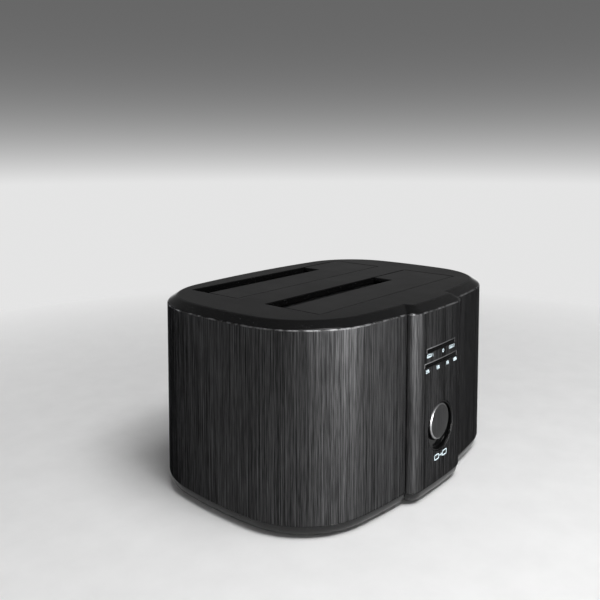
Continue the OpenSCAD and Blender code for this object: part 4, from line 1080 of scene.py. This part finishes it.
def make_floor():
    """Pale floor that sweeps up into a backdrop: a profile in metres turned about Z. Further out
    it glows where it is seen, most of all near the ground."""
    t = np.linspace(0, np.pi / 2, 24)
    bend = np.column_stack([BEND_AT + BEND_R * np.sin(t), BEND_R * (1 - np.cos(t))])
    profile = np.concatenate([[(0, 0), (0.3, 0), (1.2, 0)], bend, [(BEND_AT + BEND_R, 3.2)]])
    sweep = Piece()
    sweep.lathe(profile, (0, 0, 0), "z", 128)
    mesh = bpy.data.meshes.new("pale_floor")
    mesh.from_pydata(sweep.points[0].tolist(), [], sweep.faces[0].tolist())
    mesh.shade_smooth()
    made = Finish("pale_floor", Roughness=0.6)
    cloud = made.group(GRAIN, Scale=40.0)
    made.colour(cloud["Cloud"], (0.80, 0.80, 0.80), (0.84, 0.84, 0.84))
    tree = made.tree
    reach = node(tree, "ShaderNodeVectorMath", [(0, made.at)], operation="LENGTH").outputs["Value"]
    path = tree.nodes.new("ShaderNodeLightPath").outputs
    seen = math_node(tree, "MAXIMUM", path["Is Camera Ray"],
                     math_node(tree, "MAXIMUM", path["Is Glossy Ray"], path["Is Transmission Ray"]))
    far = times(tree, seen, ranged(tree, reach, *GLOW_REACH, 0, 1))
    fall = math_node(tree, "POWER", GLOW_FALL, math_node(tree, "MAXIMUM", made.axes()["Z"], 0.0))
    glow = node(tree, "ShaderNodeEmission", [("Color", ranged(tree, fall, 0, 1, *GLOW_RANGE))])
    blend = node(tree, "ShaderNodeMixShader",
                 [(0, far), (1, made.shader.outputs[0]), (2, glow.outputs[0])])
    tree.links.new(blend.outputs[0], tree.nodes["Material Output"].inputs["Surface"])
    mesh.materials.append(made.material)
    place("pale_floor", mesh)


def soft_lamp(name, spot, target, size, power, spread=180):
    """Rectangular soft lamp at spot, facing target; metres, watts and degrees of spread."""
    data = bpy.data.lights.new(name, "AREA")
    data.shape = "RECTANGLE"
    data.size, data.size_y = size
    data.energy = power
    data.spread = math.radians(spread)
    lamp = place(name, data)
    lamp.location = spot
    lamp.rotation_euler = (Vector(target) - Vector(spot)).to_track_quat("-Z", "Y").to_euler()


make_floor()
soft_lamp("front_softbox", (-0.06, -1.90, 0.042), (0, -0.03, 0.042), (1.75, 0.07), 50.0)
soft_lamp("back_softbox", (-0.10, 2.00, 0.042), (0, 0.03, 0.042), (1.20, 0.07), 26.0)
soft_lamp("top_softbox", (-0.05, -0.5, 1.3), (0, -0.05, 0.0), (0.8, 0.8), 11.5)
soft_lamp("floor_pool", (-0.10, -0.34, 0.55), (-0.10, -0.30, 0.0), (0.2, 0.2), 0.7, 100)

world = bpy.data.worlds.new("studio")
world.use_nodes = True
sky = world.node_tree.nodes["Background"].inputs
sky["Color"].default_value, sky["Strength"].default_value = (1, 1, 1, 1), 0.08
scene = bpy.context.scene
scene.world = world

# Camera at the photo's angle: focal length, framing and place come from a fit to the outline
FOCAL_PX, FRAME_PX, MIDDLE_PX, SENSOR = 702.457, 600.0, 198.83, 36.0
YAW, PITCH = 49.70, 4.13
lens = bpy.data.cameras.new("photo_camera")
lens.sensor_width = SENSOR
lens.lens = FOCAL_PX / FRAME_PX * SENSOR
lens.shift_y = (MIDDLE_PX - FRAME_PX / 2) / FRAME_PX
camera = place("photo_camera", lens)
camera.location = (-0.2516, -0.19175, 0.1413)
camera.rotation_euler = (math.radians(90 - PITCH), 0, math.radians(-YAW))
scene.camera = camera
scene.view_settings.view_transform = "Standard"
